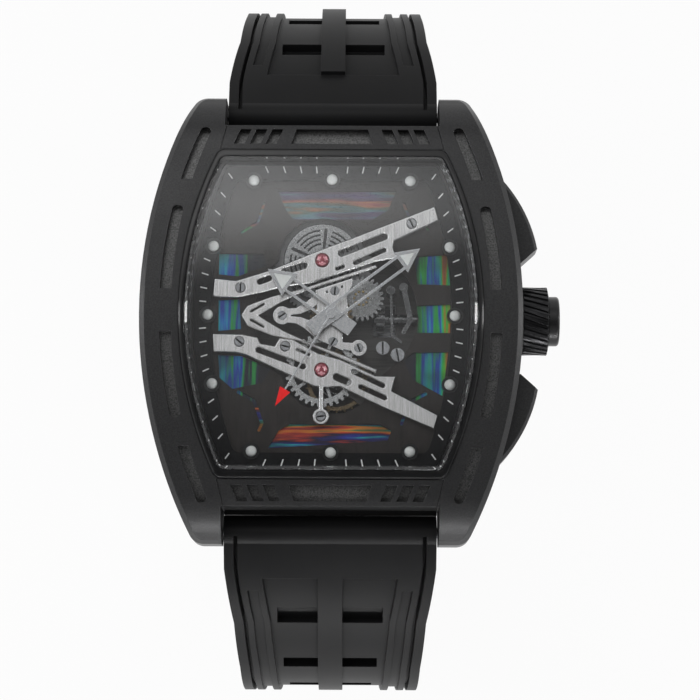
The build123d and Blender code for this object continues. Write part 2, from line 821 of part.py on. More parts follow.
def crown_rib():
    """One slanted rib of the crown along the X axis, its foot sunk into the core."""
    twist = degrees(crown_length * sin(radians(crown_rib_slant_degrees)) / crown_radius)
    rib_shares = ((-0.36, -0.5), (-0.36, 0), (-0.2, 1), (0.2, 1), (0.36, 0), (0.36, -0.5))
    ends = []
    for x, turn in ((0, 0), (crown_length, twist)):
        points = []
        for share, proud in rib_shares:
            angle = 2 * pi * share / crown_ribs + radians(turn)
            radius = crown_radius - crown_rib_depth * (1 - proud)
            points.append((radius * cos(angle), radius * sin(angle)))
        ends.append(Pos(crown_start + x, 0, 0) * Rot(0, 90, 0) * polygon_face(points))
    return loft(ends, ruled=True)


def make_crown():
    """Knurled crown with slanted ribs, its shoulder cut back on both ends."""
    core = rod_x(crown_radius - crown_rib_depth, crown_start, crown_start + crown_length, z=crown_axis_z)
    rib = crown_rib()
    turns = [360 * index / crown_ribs for index in range(crown_ribs)]
    body = core.fuse(*[Pos(0, 0, crown_axis_z) * Rot(turn, 0, 0) * rib for turn in turns])
    shoulder_points = ((crown_start, 0), (crown_start, crown_radius - crown_shoulder / 2),
                       (crown_start + crown_shoulder / 2, crown_radius + overrun),
                       (crown_start + crown_length - crown_shoulder, crown_radius + overrun),
                       (crown_start + crown_length, crown_radius - crown_shoulder * 2),
                       (crown_start + crown_length, 0))
    turned = revolve(Plane.XZ * polygon_face(shoulder_points), axis=Axis.X, revolution_arc=360)
    body = body & (Pos(0, 0, crown_axis_z) * turned)
    return body - rod_x(stem_radius, crown_start - overrun, crown_start + crown_length, z=crown_axis_z)


def make_crown_cap():
    cap = rod_x(crown_cap_radius, crown_start + crown_length, crown_start + crown_length + crown_cap_length,
                z=crown_axis_z)
    return fillet(cap.edges().group_by(Axis.X)[-1], crown_cap_round)


def make_crown_tube():
    tube = rod_x(tube_radius, tube_start, tube_end, z=crown_axis_z)
    return tube - rod_x(tube_bore, tube_start - overrun, tube_end + overrun, z=crown_axis_z)


def make_winding_stem():
    stem = rod_x(stem_radius, stem_start, crown_start + crown_length, z=crown_axis_z)
    groove = rod_x(stem_radius + overrun, stem_groove_start, stem_groove_start + stem_groove_length,
                   z=crown_axis_z)
    core = rod_x(stem_groove_radius, stem_groove_start, stem_groove_start + stem_groove_length,
                 z=crown_axis_z)
    pinion = solid_gear(stem_pinion_teeth, stem_pinion_root, stem_pinion_radius, 0, stem_pinion_length)
    pinion = Pos(stem_pinion_start, 0, crown_axis_z) * Rot(0, 90, 0) * pinion
    return (stem - groove) + core + pinion


def make_stem_yoke():
    middle = stem_groove_start + stem_groove_length / 2
    body = block((middle - yoke_thickness / 2, -yoke_half_width, yoke_low),
                 (middle + yoke_thickness / 2, yoke_half_width, yoke_high))
    slot_half = stem_groove_radius + running_fit
    slot = block((middle - yoke_thickness, -slot_half, crown_axis_z), (middle + yoke_thickness, slot_half,
                                                                        yoke_high + overrun))
    return body - slot - rod_x(slot_half, middle - yoke_thickness, middle + yoke_thickness, z=crown_axis_z)


def make_upper_pusher():
    body = plate(pusher_outline(0, 0), pusher_low, pusher_high)
    outer = body.edges().filter_by(GeomType.CIRCLE)
    body = chamfer(outer, pusher_edge_bevel)
    return body + rod_x(pusher_stem_radius, pusher_stem_start, pusher_inner_low_x, pusher_stem_y,
                        crown_axis_z)


def bridge_place(pixel):
    """Place of a bridge feature from its pixel."""
    return seen(pixel, bridge_row)


def bevelled(solid, size):
    """Solid with its top edges cut back, as polished bevels."""
    edges = solid.faces().filter_by(Axis.Z).sort_by(Axis.Z)[-1].edges()
    return chamfer(edges, size)


def inside_chapter():
    """Plan of the space inside the chapter ring, for what must clear it."""
    return tonneau(chapter_inner_half_width - wheel_gap, chapter_inner_half_height - wheel_gap,
                   chapter_inner_radius, cavity_corner)


def make_upper_bridge():
    face = polygon_face([bridge_place(pixel) for pixel in upper_bridge_pixels]) & inside_chapter()
    for slot in seen_links(upper_slot_pixels, bridge_row):
        face = face - slot
    x, y = bridge_place(jewel_pixels[0])
    face = face - Pos(x, y) * Circle(jewel_radius + seat_gap)
    for pixel in upper_screw_pixels:
        face = face - Pos(*bridge_place(pixel)) * Circle(bridge_screw_radius + seat_gap)
    return bevelled(plate(face, bridge_low, bridge_low + bridge_thickness), bridge_bevel)


def make_lower_bridge():
    face = polygon_face([bridge_place(pixel) for pixel in lower_bridge_pixels]) & inside_chapter()
    face = face + link_face(bridge_place(leg_start_pixel), bridge_place(leg_boss_pixel),
                            leg_width_pixels * mm_per_pixel)
    face = face + Pos(*bridge_place(leg_boss_pixel)) * Circle(leg_boss_radius_pixels * mm_per_pixel)
    for slot in seen_links(lower_slot_pixels, bridge_row):
        face = face - slot
    face = face - Pos(*bridge_place(jewel_pixels[1])) * Circle(jewel_radius + seat_gap)
    for pixel in lower_screw_pixels:
        face = face - Pos(*bridge_place(pixel)) * Circle(bridge_screw_radius + seat_gap)
    return bevelled(plate(face, bridge_low, bridge_low + bridge_thickness), bridge_bevel)


def make_v_rail():
    face = polygon_face([bridge_place(pixel) for pixel in rail_outer_pixels])
    for slot in seen_links(rail_slot_pixels, bridge_row):
        face = face - slot
    return bevelled(plate(face, bridge_low, bridge_low + rail_thickness), bridge_bevel)


def make_wishbone():
    face = polygon_face([bridge_place(pixel) for pixel in wishbone_plate_pixels])
    for arm in wishbone_arm_pixels:
        face = face + polygon_face([bridge_place(pixel) for pixel in arm])
    face = face + Pos(*bridge_place(wishbone_boss_pixel)) * Circle(boss_radius_pixels * mm_per_pixel)
    face = face + Pos(*bridge_place(wishbone_screw_pixels[-1])) * Circle(lug_radius_pixels * mm_per_pixel)
    for pixel in wishbone_screw_pixels:
        face = face - Pos(*bridge_place(pixel)) * Circle(bridge_screw_radius + seat_gap)
    for pixel in wishbone_hole_pixels:
        face = face - Pos(*bridge_place(pixel)) * Circle(bridge_screw_radius / 3)
    face = face - Circle(hour_tube_radius + wheel_gap)
    return plate(face, bridge_low, bridge_low + rail_thickness)


def bridge_screw_list():
    """Each bridge screw as its pixel, the level of the face it holds and the level it reaches down to."""
    screws = []
    for pixels, thickness in ((upper_screw_pixels + lower_screw_pixels, bridge_thickness),
                              (wishbone_screw_pixels, rail_thickness)):
        for pixel in pixels:
            if pixel in dial_post_pixels:
                bottom = chapter_low()
            elif pixel in plate_post_pixels:
                bottom = main_plate_high
            else:
                bottom = bridge_low - wheel_gap / 2
            screws.append((pixel, bridge_low + thickness, bottom))
    return screws


def make_bridge_posts():
    """Round feet that carry the bridges and the rail on the dial plate and on the main plate."""
    posts = []
    for pixels, radius, bottom in ((dial_post_pixels, dial_post_radius, chapter_low()),
                                   ((rail_apex_pixel,), rail_apex_radius, chapter_low()),
                                   (plate_post_pixels, plate_post_radius, main_plate_high),
                                   (rail_pin_pixels, rail_pin_radius, main_plate_high)):
        for pixel in pixels:
            post = disc(radius, bottom, bridge_low, *bridge_place(pixel))
            if radius > bridge_screw_radius / 2 + 2 * seat_gap and pixel != rail_apex_pixel:
                post = post - disc(bridge_screw_radius / 2 + seat_gap, bottom - overrun, bridge_low + overrun,
                                   *bridge_place(pixel))
            posts.append(post)
    return joined(posts)


def make_bridge_screws():
    screws = []
    for index, (pixel, level, bottom) in enumerate(bridge_screw_list()):
        x, y = bridge_place(pixel)
        head_depth = level + bridge_screw_proud - bridge_low
        screws.append(slotted_screw(bridge_screw_radius, level + bridge_screw_proud, head_depth,
                                    bridge_screw_radius / 2, bottom, x, y,
                                    turn=screw_turn_first_degrees + screw_turn_step_degrees * index))
    return joined(screws)


def make_jewels():
    jewels = []
    for pixel in jewel_pixels:
        x, y = bridge_place(pixel)
        top = bridge_low + bridge_thickness
        jewel = disc(jewel_radius, bridge_low + bridge_thickness / 2, top + jewel_height, x, y)
        jewels.append(fillet(jewel.edges().group_by(Axis.Z)[-1], jewel_round))
    return joined(jewels)


def make_main_plate():
    body = plate(tonneau(main_plate_half_width, main_plate_half_height, cavity_side_radius, cavity_corner),
                 main_plate_low, main_plate_high)
    slot_half = stem_pinion_radius + pinion_room
    body = body - block((stem_start - wheel_gap, -slot_half, main_plate_low - overrun),
                        (stem_pinion_start + stem_pinion_length + crown_pull + pinion_room, slot_half,
                         main_plate_high + overrun))
    body = body - disc(seconds_staff_radius + running_fit, main_plate_low - overrun,
                       main_plate_high + overrun)
    post = disc(rotor_post_radius, rotor_low + rotor_screw_thickness, main_plate_low)
    return body + post


def make_movement_holder():
    ring = (tonneau(cavity_half_width - seat_gap, cavity_half_height - seat_gap, cavity_side_radius,
                    cavity_corner)
            - tonneau(main_plate_half_width + seat_gap, main_plate_half_height + seat_gap, cavity_side_radius,
                      cavity_corner))
    body = plate(ring, holder_low, holder_high)
    return body - rod_x(stem_radius + stem_holder_gap, 0, far_reach, z=crown_axis_z)


def dial_well():
    """Opening in the middle of the dial, round all the wheels."""
    well = Circle(centre_well_radius) + Pos(well_offset_x, well_offset_y) * Circle(well_offset_radius)
    well = well + Pos(barrel_x, barrel_y) * Circle(barrel_radius + well_margin)
    distance = hypot(lower_wheel_x, lower_wheel_y)
    module, wheel, gear = gear_radii(distance, lower_wheel_teeth, centre_gear_teeth)
    well = well + Pos(lower_wheel_x, lower_wheel_y) * Circle(wheel + well_margin)
    for pixel in dial_screw_pixels:
        well = well + Pos(*seen(pixel, bridge_row)) * Circle(dial_screw_radius + wheel_gap)
    return well + Pos(balance_x, balance_y) * Circle(balance_radius + well_margin)


def make_dial_foil():
    face = tonneau(dial_half_width, dial_half_height, cavity_side_radius, cavity_corner) - dial_well()
    return plate(face, holder_high, holder_high + foil_thickness)


def make_dial_plate():
    low = holder_high + foil_thickness
    face = tonneau(dial_half_width, dial_half_height, cavity_side_radius, cavity_corner) - dial_well()
    for window in dial_window_pixels:
        face = face - polygon_face([seen(pixel, plate_row) for pixel in window])
    for slot in seen_links(flourish_pixels, plate_row):
        face = face - slot
    return plate(face, low, low + dial_plate_thickness)


def chapter_low():
    return holder_high + foil_thickness + dial_plate_thickness


def make_chapter_ring():
    ring = (tonneau(dial_half_width, dial_half_height, cavity_side_radius, cavity_corner)
            - tonneau(chapter_inner_half_width, chapter_inner_half_height, chapter_inner_radius,
                      cavity_corner))
    body = plate(ring, chapter_low(), chapter_low() + chapter_thickness)
    for x, y in four_ways(marker_places):
        body = body - disc(cup_radius + seat_gap, chapter_low() - overrun, chapter_low() + chapter_thickness
                           + overrun, x, y)
    return body


def on_tick_line(angle):
    """Point where a ray from the centre meets the minute track."""
    offset = tick_line_radius - tick_line_half_width
    end_half = sqrt(tick_line_radius ** 2 - tick_line_half_height ** 2) - offset
    if abs(sin(angle)) * tick_line_half_height > abs(cos(angle)) * end_half:
        reach = sqrt(tick_line_radius ** 2 - (offset * cos(angle)) ** 2) - offset * abs(sin(angle))
    else:
        reach = tick_line_half_height / abs(cos(angle))
    return reach * sin(angle), reach * cos(angle)


def make_minute_ticks():
    top = chapter_low() + chapter_thickness
    ticks = []
    for minute in range(60):
        if minute % 5 != 0:
            angle = 2 * pi * minute / 60
            x, y = on_tick_line(angle)
            tick = Rot(0, 0, -degrees(angle)) * Box(tick_width, tick_length, tick_height)
            ticks.append(Pos(x, y, top + tick_height / 2) * tick)
    return Compound(ticks)


def make_marker_cups():
    cups = []
    for x, y in four_ways(marker_places):
        low = chapter_low()
        high = low + chapter_thickness + cup_height
        cup = disc(cup_radius, low, high, x, y)
        cups.append(cup - disc(marker_radius + running_fit, high - cup_height, high + overrun, x, y))
    return Compound(cups)


def make_hour_markers():
    markers = []
    low = chapter_low() + chapter_thickness
    for x, y in four_ways(marker_places):
        marker = disc(marker_radius, low, low + marker_height, x, y)
        markers.append(fillet(marker.edges().group_by(Axis.Z)[-1], marker_round))
    return Compound(markers)


def make_dial_screws():
    screws = []
    for pixel, turn in zip(dial_screw_pixels, dial_screw_turns_degrees):
        x, y = seen(pixel, bridge_row)
        screws.append(slotted_screw(dial_screw_radius, bridge_low, bridge_low - lever_low,
                                    dial_screw_radius / 2, main_plate_high, x, y, turn=turn))
    return joined(screws)


def lever(links):
    """Flat lever over the main plate, on a round post under its first end."""
    face = joined(seen_links(links, bridge_row))
    x, y = seen(links[0][0], bridge_row)
    body = plate(face, lever_low, lever_low + lever_thickness)
    return body + disc(lever_post_radius, main_plate_high, lever_low + lever_thickness, x, y)


def gear_radii(distance, first_teeth, second_teeth):
    """Module and pitch radii of two meshed gears from their centre distance."""
    module = 2 * distance / (first_teeth + second_teeth)
    return module, module * first_teeth / 2, module * second_teeth / 2


def make_barrel():
    distance = hypot(barrel_x, barrel_y)
    module, wheel, pinion = gear_radii(distance, barrel_teeth, centre_pinion_teeth)
    toward_centre = atan2(-barrel_y, -barrel_x) / (2 * pi) * barrel_teeth
    gear = solid_gear(barrel_teeth, wheel - module, wheel + addendum_share * module, barrel_low,
                      barrel_low + barrel_gear_thickness, barrel_x, barrel_y, phase=toward_centre)
    drum = disc(barrel_radius, barrel_low + barrel_gear_thickness, barrel_high, barrel_x, barrel_y)
    arbor_top = bridge_low + bridge_thickness / 2 - wheel_gap
    arbor = disc(barrel_arbor_radius, main_plate_high, arbor_top, barrel_x, barrel_y)
    return gear + drum + arbor


def arc_slot(radius, width, start_degrees, end_degrees):
    """Curved slot face round the origin."""
    half = width / 2
    ring = Circle(radius + half) - Circle(radius - half)
    points = [(0, 0)]
    reach = 2 * radius
    steps = 6
    for step in range(steps + 1):
        angle = radians(start_degrees + (end_degrees - start_degrees) * step / steps)
        points.append((reach * cos(angle), reach * sin(angle)))
    return ring & polygon_face(points)


def make_barrel_cover():
    """Slotted disc over the drum: two rings of curved slots and five straight spokes."""
    radius_shares = (0.84, 0.72, 0.6, 0.48)
    face = Circle(barrel_cover_radius)
    for spoke in range(cover_spokes):
        start = 360 * spoke / cover_spokes + cover_spoke_turn_degrees
        for share in radius_shares:
            face = face - arc_slot(barrel_cover_radius * share, cover_slot_width,
                                   start + cover_slot_start_degrees, start + cover_slot_end_degrees)
        angle = radians(start)
        face = face - link_face((cover_spoke_inner * cos(angle), cover_spoke_inner * sin(angle)),
                                (cover_spoke_outer * cos(angle), cover_spoke_outer * sin(angle)),
                                cover_spoke_width)
    face = face - Circle(barrel_arbor_radius + seat_gap)
    return plate(Pos(barrel_x, barrel_y) * face, barrel_high, barrel_high + barrel_cover_thickness)


def make_lower_wheel():
    distance = hypot(lower_wheel_x, lower_wheel_y)
    module, wheel, pinion = gear_radii(distance, lower_wheel_teeth, centre_gear_teeth)
    toward_centre = atan2(-lower_wheel_y, -lower_wheel_x) / (2 * pi) * lower_wheel_teeth
    low = lower_wheel_low
    high = low + lower_wheel_thickness
    gear = solid_gear(lower_wheel_teeth, wheel - module, wheel + addendum_share * module, low, high,
                      lower_wheel_x, lower_wheel_y, phase=toward_centre)
    gear = gear - disc(lower_rim_radius, low - overrun, high + overrun, lower_wheel_x, lower_wheel_y)
    for spoke in range(lower_spokes):
        angle = 2 * pi * spoke / lower_spokes
        end = (lower_wheel_x + (lower_rim_radius + module / 2) * cos(angle),
               lower_wheel_y + (lower_rim_radius + module / 2) * sin(angle))
        gear = gear + plate(link_face((lower_wheel_x, lower_wheel_y), end, lower_spoke_width), low, high)
    hub = disc(2 * lower_arbor_radius, low, high, lower_wheel_x, lower_wheel_y)
    arbor_top = bridge_low + bridge_thickness / 2 - wheel_gap
    return gear + hub + disc(lower_arbor_radius, low, arbor_top, lower_wheel_x, lower_wheel_y)


def make_crown_wheel():
    low = crown_wheel_low
    high = low + crown_wheel_thickness
    gear = solid_gear(crown_wheel_teeth, crown_wheel_root, crown_wheel_radius, low, high, crown_wheel_x,
                      crown_wheel_y)
    gear = gear + washer(crown_wheel_ring_outer, crown_wheel_ring_inner, high, high + wheel_gap / 2,
                         crown_wheel_x, crown_wheel_y)
    return gear - disc(crown_wheel_post_radius + running_fit, low - overrun, high + overrun,
                       crown_wheel_x, crown_wheel_y)


def make_crown_wheel_post():
    x, y = crown_wheel_x, crown_wheel_y
    return disc(crown_wheel_post_radius, main_plate_high, crown_wheel_low + crown_wheel_thickness, x, y)


def make_balance_wheel():
    low = balance_low
    high = low + balance_rim_thickness
    rim = washer(balance_radius, balance_radius - balance_rim_width, low, high, balance_x, balance_y)
    arms = Pos(balance_x, balance_y, low) * Box(2 * balance_radius - balance_rim_width, 2 * balance_rim_width,
                                                balance_rim_thickness / 2,
                                                align=(Align.CENTER, Align.CENTER, Align.MIN))
    wheel = rim + arms + disc(balance_hub_radius, low, high, balance_x, balance_y)
    for index in range(balance_screws):
        angle = 360 * index / balance_screws
        stud = rod_x(balance_screw_radius, balance_radius - balance_rim_width / 2,
                     balance_radius + balance_screw_length)
        wheel = wheel + Pos(balance_x, balance_y, (low + high) / 2) * Rot(0, 0, angle) * stud
    staff = disc(staff_radius, main_plate_high + wheel_gap / 2, cock_low - wheel_gap / 2,
                 balance_x, balance_y)
    return wheel + staff


def hairspring_point(turn, shift):
    """Point on the flat spiral after a number of turns."""
    radius = hairspring_inner_radius + hairspring_pitch * turn + shift
    angle = 2 * pi * turn
    return balance_x + radius * cos(angle), balance_y + radius * sin(angle)


def make_hairspring():
    steps = int(hairspring_turns * hairspring_steps_per_turn)
    half = hairspring_strip / 2
    turns = [hairspring_turns * step / steps for step in range(steps + 1)]
    outer = Spline([hairspring_point(turn, half) for turn in turns])
    inner = Spline([hairspring_point(turn, -half) for turn in turns])
    start = Line(inner @ 0, outer @ 0)
    end = Line(outer @ 1, inner @ 1)
    face = make_face([outer, end, inner, start])
    print("least gap between hairspring turns:", round(hairspring_pitch - hairspring_strip, 3))
    return plate(face, hairspring_low, hairspring_low + hairspring_height)


def make_balance_cock():
    """Bar over the balance staff, on a foot at the edge of the balance."""
    reach = balance_radius + balance_screw_length + cock_foot_room
    angle = radians(cock_angle_degrees)
    foot = (balance_x + reach * cos(angle), balance_y + reach * sin(angle))
    bar = plate(link_face((balance_x, balance_y), foot, cock_width), cock_low, cock_low + cock_thickness)
    pillar = disc(cock_pillar_radius, main_plate_high, cock_low + cock_thickness, *foot)
    stud_turn = hairspring_turns
    stud_x, stud_y = hairspring_point(stud_turn, hairspring_strip / 2 + stud_radius)
    stud = disc(stud_radius, main_plate_high, hairspring_low + hairspring_height, stud_x, stud_y)
    return bar + pillar, stud


def arrow_points(start, tip, half):
    return (-half, start), (half, start), (0, tip)


def frame_arrow(start, tip, half):
    """Arrow head with a triangular window for its lume."""
    length = tip - start
    inset = hand_frame
    slope = hypot(length, half) / half
    inner_tip = tip - inset * slope
    inner_half = half * (inner_tip - start - inset) / length
    outer = polygon_face(arrow_points(start, tip, half))
    inner = polygon_face(arrow_points(start + inset, inner_tip, inner_half))
    return outer - inner, inner


def open_hand(start, tip, half):
    """Open hand: two rails, an arrow head and a flat tail plate over the hub."""
    head, window = frame_arrow(start, tip, half)
    for side in (1, -1):
        rail = Pos(side * rail_offset, start / 2 + hand_frame / 2) * Rectangle(hand_rail_width,
                                                                              start + hand_frame)
        head = head + rail
    tail = Pos(0, (tail_front - tail_reach) / 2) * Rectangle(2 * tail_half, tail_reach + tail_front)
    return head + tail, window


def turned_hand(face, clock_degrees):
    """Hand face turned clockwise from twelve o'clock."""
    return Rot(0, 0, -clock_degrees) * face


def make_hour_parts():
    face, window = open_hand(hour_arrow_start, hour_tip, hour_arrow_half)
    hand = plate(turned_hand(face, hour_angle_degrees), hour_level, hour_level + hand_thickness)
    hand = hand + disc(hour_tube_radius, bridge_low - wheel_gap / 2, hour_level + hand_thickness / 2)
    hand = hand - disc(cannon_radius + running_fit, 0, hour_level + overrun)
    top = hour_level + hand_thickness + lume_proud
    lume = plate(turned_hand(window, hour_angle_degrees), hour_level, top)
    return hand, lume


def make_minute_parts():
    face, window = open_hand(minute_arrow_start, minute_tip, minute_arrow_half)
    hand = plate(turned_hand(face, minute_angle_degrees), minute_level, minute_level + hand_thickness)
    hand = hand - disc(seconds_staff_radius + running_fit, 0, minute_level + overrun)
    top = minute_level + hand_thickness + lume_proud
    lume = plate(turned_hand(window, minute_angle_degrees), minute_level, top)
    return hand, lume


def make_cannon_pinion():
    """Centre arbor: the pinion that the barrel drives, the gear that drives the lower wheel, and the pipe."""
    distance = hypot(barrel_x, barrel_y)
    module, wheel, pinion = gear_radii(distance, barrel_teeth, centre_pinion_teeth)
    from_barrel = atan2(barrel_y, barrel_x) / (2 * pi) * centre_pinion_teeth + half_share
    lower = solid_gear(centre_pinion_teeth, pinion - dedendum_share * module,
                       pinion + addendum_share * module, barrel_low,
                       barrel_low + barrel_gear_thickness, phase=from_barrel)
    distance = hypot(lower_wheel_x, lower_wheel_y)
    module, wheel, gear = gear_radii(distance, lower_wheel_teeth, centre_gear_teeth)
    from_wheel = atan2(lower_wheel_y, lower_wheel_x) / (2 * pi) * centre_gear_teeth + half_share
    upper = solid_gear(centre_gear_teeth, gear - dedendum_share * module,
                       gear + addendum_share * module, lower_wheel_low,
                       lower_wheel_low + lower_wheel_thickness, phase=from_wheel)
    pipe = disc(cannon_radius, main_plate_high + wheel_gap, minute_level)
    body = lower + upper + pipe
    return body - disc(seconds_staff_radius + running_fit, main_plate_high, minute_level + overrun)


def make_seconds_hand():
    stem = Pos(0, (seconds_arrow_start - seconds_tail) / 2) * Rectangle(seconds_stem_width,
                                                                         seconds_arrow_start + seconds_tail)
    face = stem + Circle(seconds_hub_radius)
    hand = plate(turned_hand(face, seconds_angle_degrees), seconds_level, seconds_level + hand_thickness / 2)
    staff = disc(seconds_staff_radius, main_plate_low + wheel_gap, seconds_level)
    return hand + staff


def make_seconds_tip():
    face = polygon_face(arrow_points(seconds_arrow_start, seconds_tip, seconds_arrow_half))
    return plate(turned_hand(face, seconds_angle_degrees), seconds_level, seconds_level + hand_thickness / 2)


def make_rotor():
    half = Rectangle(2 * rotor_radius, rotor_radius, align=(Align.CENTER, Align.MAX))
    web_face = (Circle(rotor_radius) & half) + Circle(rotor_hub_radius)
    for start, end in rotor_slot_degrees:
        web_face = web_face - arc_slot(rotor_slot_radius, rotor_slot_width, start, end)
    web = plate(web_face, rotor_low, rotor_low + rotor_web_thickness)
    rim_face = (Circle(rotor_radius) - Circle(rotor_radius - rotor_rim_width)) & half
    rim = plate(rim_face, rotor_low, rotor_low + rotor_rim_thickness)
    return (web + rim) - disc(bearing_radius + running_fit, rotor_low - overrun, rotor_low + overrun)


def make_rotor_bearing():
    """Bearing ring on the plate's post, closed below by a slotted cap."""
    top = rotor_low + rotor_rim_thickness - wheel_gap
    ring = washer(bearing_radius, rotor_post_radius + seat_gap, rotor_low, top)
    low = rotor_low - rotor_screw_thickness / 2
    cap = disc(rotor_cap_radius, low, rotor_low) + disc(rotor_post_radius + seat_gap, low, rotor_low
                                                       + rotor_screw_thickness - seat_gap)
    slot = Pos(0, 0, low) * Box(4 * bearing_radius, screw_slot_width, screw_slot_depth / 2)
    return ring + cap - slot


def strap_runs(floor_bend, straight):
    """A strap half as bends (radius, degrees) and a straight (0, length)."""
    return ((strap_side_bend, 90 - strap_start_slope_degrees), (floor_bend, 90), (0, straight))


def strap_length(runs):
    total = 0
    for radius, amount in runs:
        total = total + (radius * radians(amount) if radius else amount)
    return total


def strap_state(runs, distance):
    """Place and heading, below the horizontal, at a distance along the strap's middle line."""
    y, z, heading = hinge_y, hinge_z, radians(strap_start_slope_degrees)
    left = distance
    for radius, amount in runs:
        if radius:
            turn = min(left, radius * radians(amount)) / radius
            y = y + radius * (sin(heading + turn) - sin(heading))
            z = z + radius * (cos(heading + turn) - cos(heading))
            heading = heading + turn
            left = left - radius * turn
        else:
            step = min(left, amount)
            y = y + step * cos(heading)
            z = z - step * sin(heading)
            left = left - step
    return y, z, heading


def strap_point(runs, distance, offset):
    """Point beside the strap's middle line, outwards for a positive offset."""
    y, z, heading = strap_state(runs, distance)
    return y + offset * sin(heading), z + offset * cos(heading)


def strap_layer(runs, start, end, inner, outer):
    """Solid slice of a strap half between two distances and two offsets, wider than the strap."""
    outer_edges = []
    inner_edges = []
    position = 0
    for radius, amount in runs:
        length = radius * radians(amount) if radius else amount
        first = max(start, position)
        last = min(end, position + length)
        if last > first:
            middle = (first + last) / 2
            for offset, edges in ((outer, outer_edges), (inner, inner_edges)):
                points = [strap_point(runs, place, offset) for place in (first, middle, last)]
                if radius:
                    edges.append(ThreePointArc(*points))
                else:
                    edges.append(Line(points[0], points[2]))
        position = position + length
    caps = [Line(strap_point(runs, place, inner), strap_point(runs, place, outer)) for place in (start, end)]
    face = make_face(outer_edges + inner_edges + caps)
    return extrude(Plane.YZ * face, amount=strap_half_width_lug + overrun, both=True)


def taper_strip(near_edge, far_edge):
    """Upright wall that follows the strap's right edge, between two distances in from that edge."""
    levels = ((hinge_z + 2 * strap_end_radius, strap_half_width_lug),
              (hinge_z, strap_half_width_lug),
              (strap_shoulder_level, strap_half_width_shoulder),
              (strap_side_level, strap_half_width_side), (strap_floor_level, strap_half_width_floor))
    outer = [(half - near_edge, level) for level, half in levels]
    inner = [(half - far_edge if far_edge is not None else 0, level) for level, half in reversed(levels)]
    face = polygon_face(outer + inner)
    return extrude(Plane.XZ * face, amount=far_reach, both=True)


def both_sides(solid):
    return solid + mirror(solid, about=Plane.YZ)


def strap_window(runs, distance, half_width, depth, length):
    """Cutter for a recess across the strap, square to its surface."""
    y, z, heading = strap_state(runs, distance)
    box = Box(2 * half_width, length, 2 * depth)
    place = Pos(0, *strap_point(runs, distance, strap_thickness / 2))
    return place * Rot(-degrees(heading), 0, 0) * box


def make_strap_half(runs, window_count, end, proud_end):
    """Moulded strap half: edge rails, grooves, side strips, a lowered panel, a rib and recesses.

    The rib stands proud of the rails up to proud_end along the strap."""
    half = strap_thickness / 2
    body = strap_layer(runs, 0, end, -half, half) & both_sides(taper_strip(0, None))
    body = body + rod_x(strap_end_radius, -strap_half_width_lug, strap_half_width_lug, hinge_y, hinge_z)
    groove = strap_layer(runs, 0, end, half - edge_groove_depth, half + overrun)
    body = body - both_sides(groove & taper_strip(edge_rail_width, edge_rail_width + edge_groove_width))
    strip_near = edge_rail_width + edge_groove_width + inner_ridge_width
    strip = strap_layer(runs, side_strip_start, end, half - side_strip_depth, half + overrun)
    body = body - both_sides(strip & taper_strip(strip_near, strip_near + side_strip_width))
    panel = strap_layer(runs, panel_start, end, half - panel_depth, half + overrun)
    panel_near = strip_near + side_strip_width + inner_ridge_width
    panel = panel & both_sides(taper_strip(panel_near, None))
    rib = block((-rib_half_width, -far_reach, -far_reach), (rib_half_width, far_reach, far_reach))
    cuts = panel
    for index in range(window_count):
        width = window_half_width - window_narrowing * min(index, 2)
        place = window_first + window_pitch * index
        cuts = cuts + strap_window(runs, place, width, window_depth, window_length)
    body = body - (cuts - rib)
    if proud_end > panel_start:
        body = body + (strap_layer(runs, panel_start, proud_end, 0, half + rib_proud) & rib)
    return body - rod_x(spring_bar_radius + running_fit, -far_reach, far_reach, hinge_y, hinge_z)


buckle_runs = strap_runs(buckle_floor_bend, buckle_straight)
tail_runs = strap_runs(tail_floor_bend, tail_straight)


def make_strap_buckle_half():
    end = strap_length(buckle_runs)
    body = make_strap_half(buckle_runs, buckle_window_count, end, rib_end)
    y, z, heading = strap_state(buckle_runs, end)
    edge = strap_edge_half(z)
    body = body + rod_x(buckle_eye_radius, -edge, edge, y, z)
    body = body - rod_x(buckle_bar_radius + running_fit, -far_reach, far_reach, y, z)
    slot = block((-tongue_slot_half, y - buckle_eye_radius - overrun, z - strap_thickness),
                 (tongue_slot_half, y + tongue_slot_length, z + strap_thickness))
    return body - slot


def strap_edge_half(level):
    """Half width of the strap at a level below its side."""
    share = (level - strap_side_level) / (strap_floor_level - strap_side_level)
    return strap_half_width_side + (strap_half_width_floor - strap_half_width_side) * share


def make_strap_tail_half():
    end = strap_length(tail_runs)
    body = make_strap_half(tail_runs, tail_window_count, end, 0)
    y, z, heading = strap_state(tail_runs, end)
    edge = strap_edge_half(z) + overrun
    tip = ThreePointArc((-edge, y + tail_tip_round), (0, y), (edge, y + tail_tip_round))
    cut = make_face([tip, Line((edge, y + tail_tip_round), (edge, y - overrun)),
                     Line((edge, y - overrun), (-edge, y - overrun)),
                     Line((-edge, y - overrun), (-edge, y + tail_tip_round))])
    body = body - plate(cut, z - strap_thickness, z + strap_thickness)
    for index in range(hole_count):
        distance = hole_first + hole_pitch * index
        if distance + hole_length < end:
            place = Pos(0, *strap_point(tail_runs, distance, 0))
            turn = Rot(-degrees(strap_state(tail_runs, distance)[2]), 0, 0)
            body = body - place * turn * Box(hole_width, hole_length, 2 * strap_thickness)
    return mirror(body, about=Plane.XZ)


def make_spring_bars():
    bars = []
    for side in (1, -1):
        body_end = lug_gap_half - running_fit
        pivot_end = lug_gap_half + spring_bar_pivot_length
        bars.append(rod_x(spring_bar_radius, -body_end, body_end, side * hinge_y, hinge_z)
                    + rod_x(spring_bar_pivot_radius, -pivot_end, pivot_end, side * hinge_y, hinge_z))
    return Compound(bars)


def buckle_place():
    """Place of the buckle's bar."""
    y, z, heading = strap_state(buckle_runs, strap_length(buckle_runs))
    return y, z


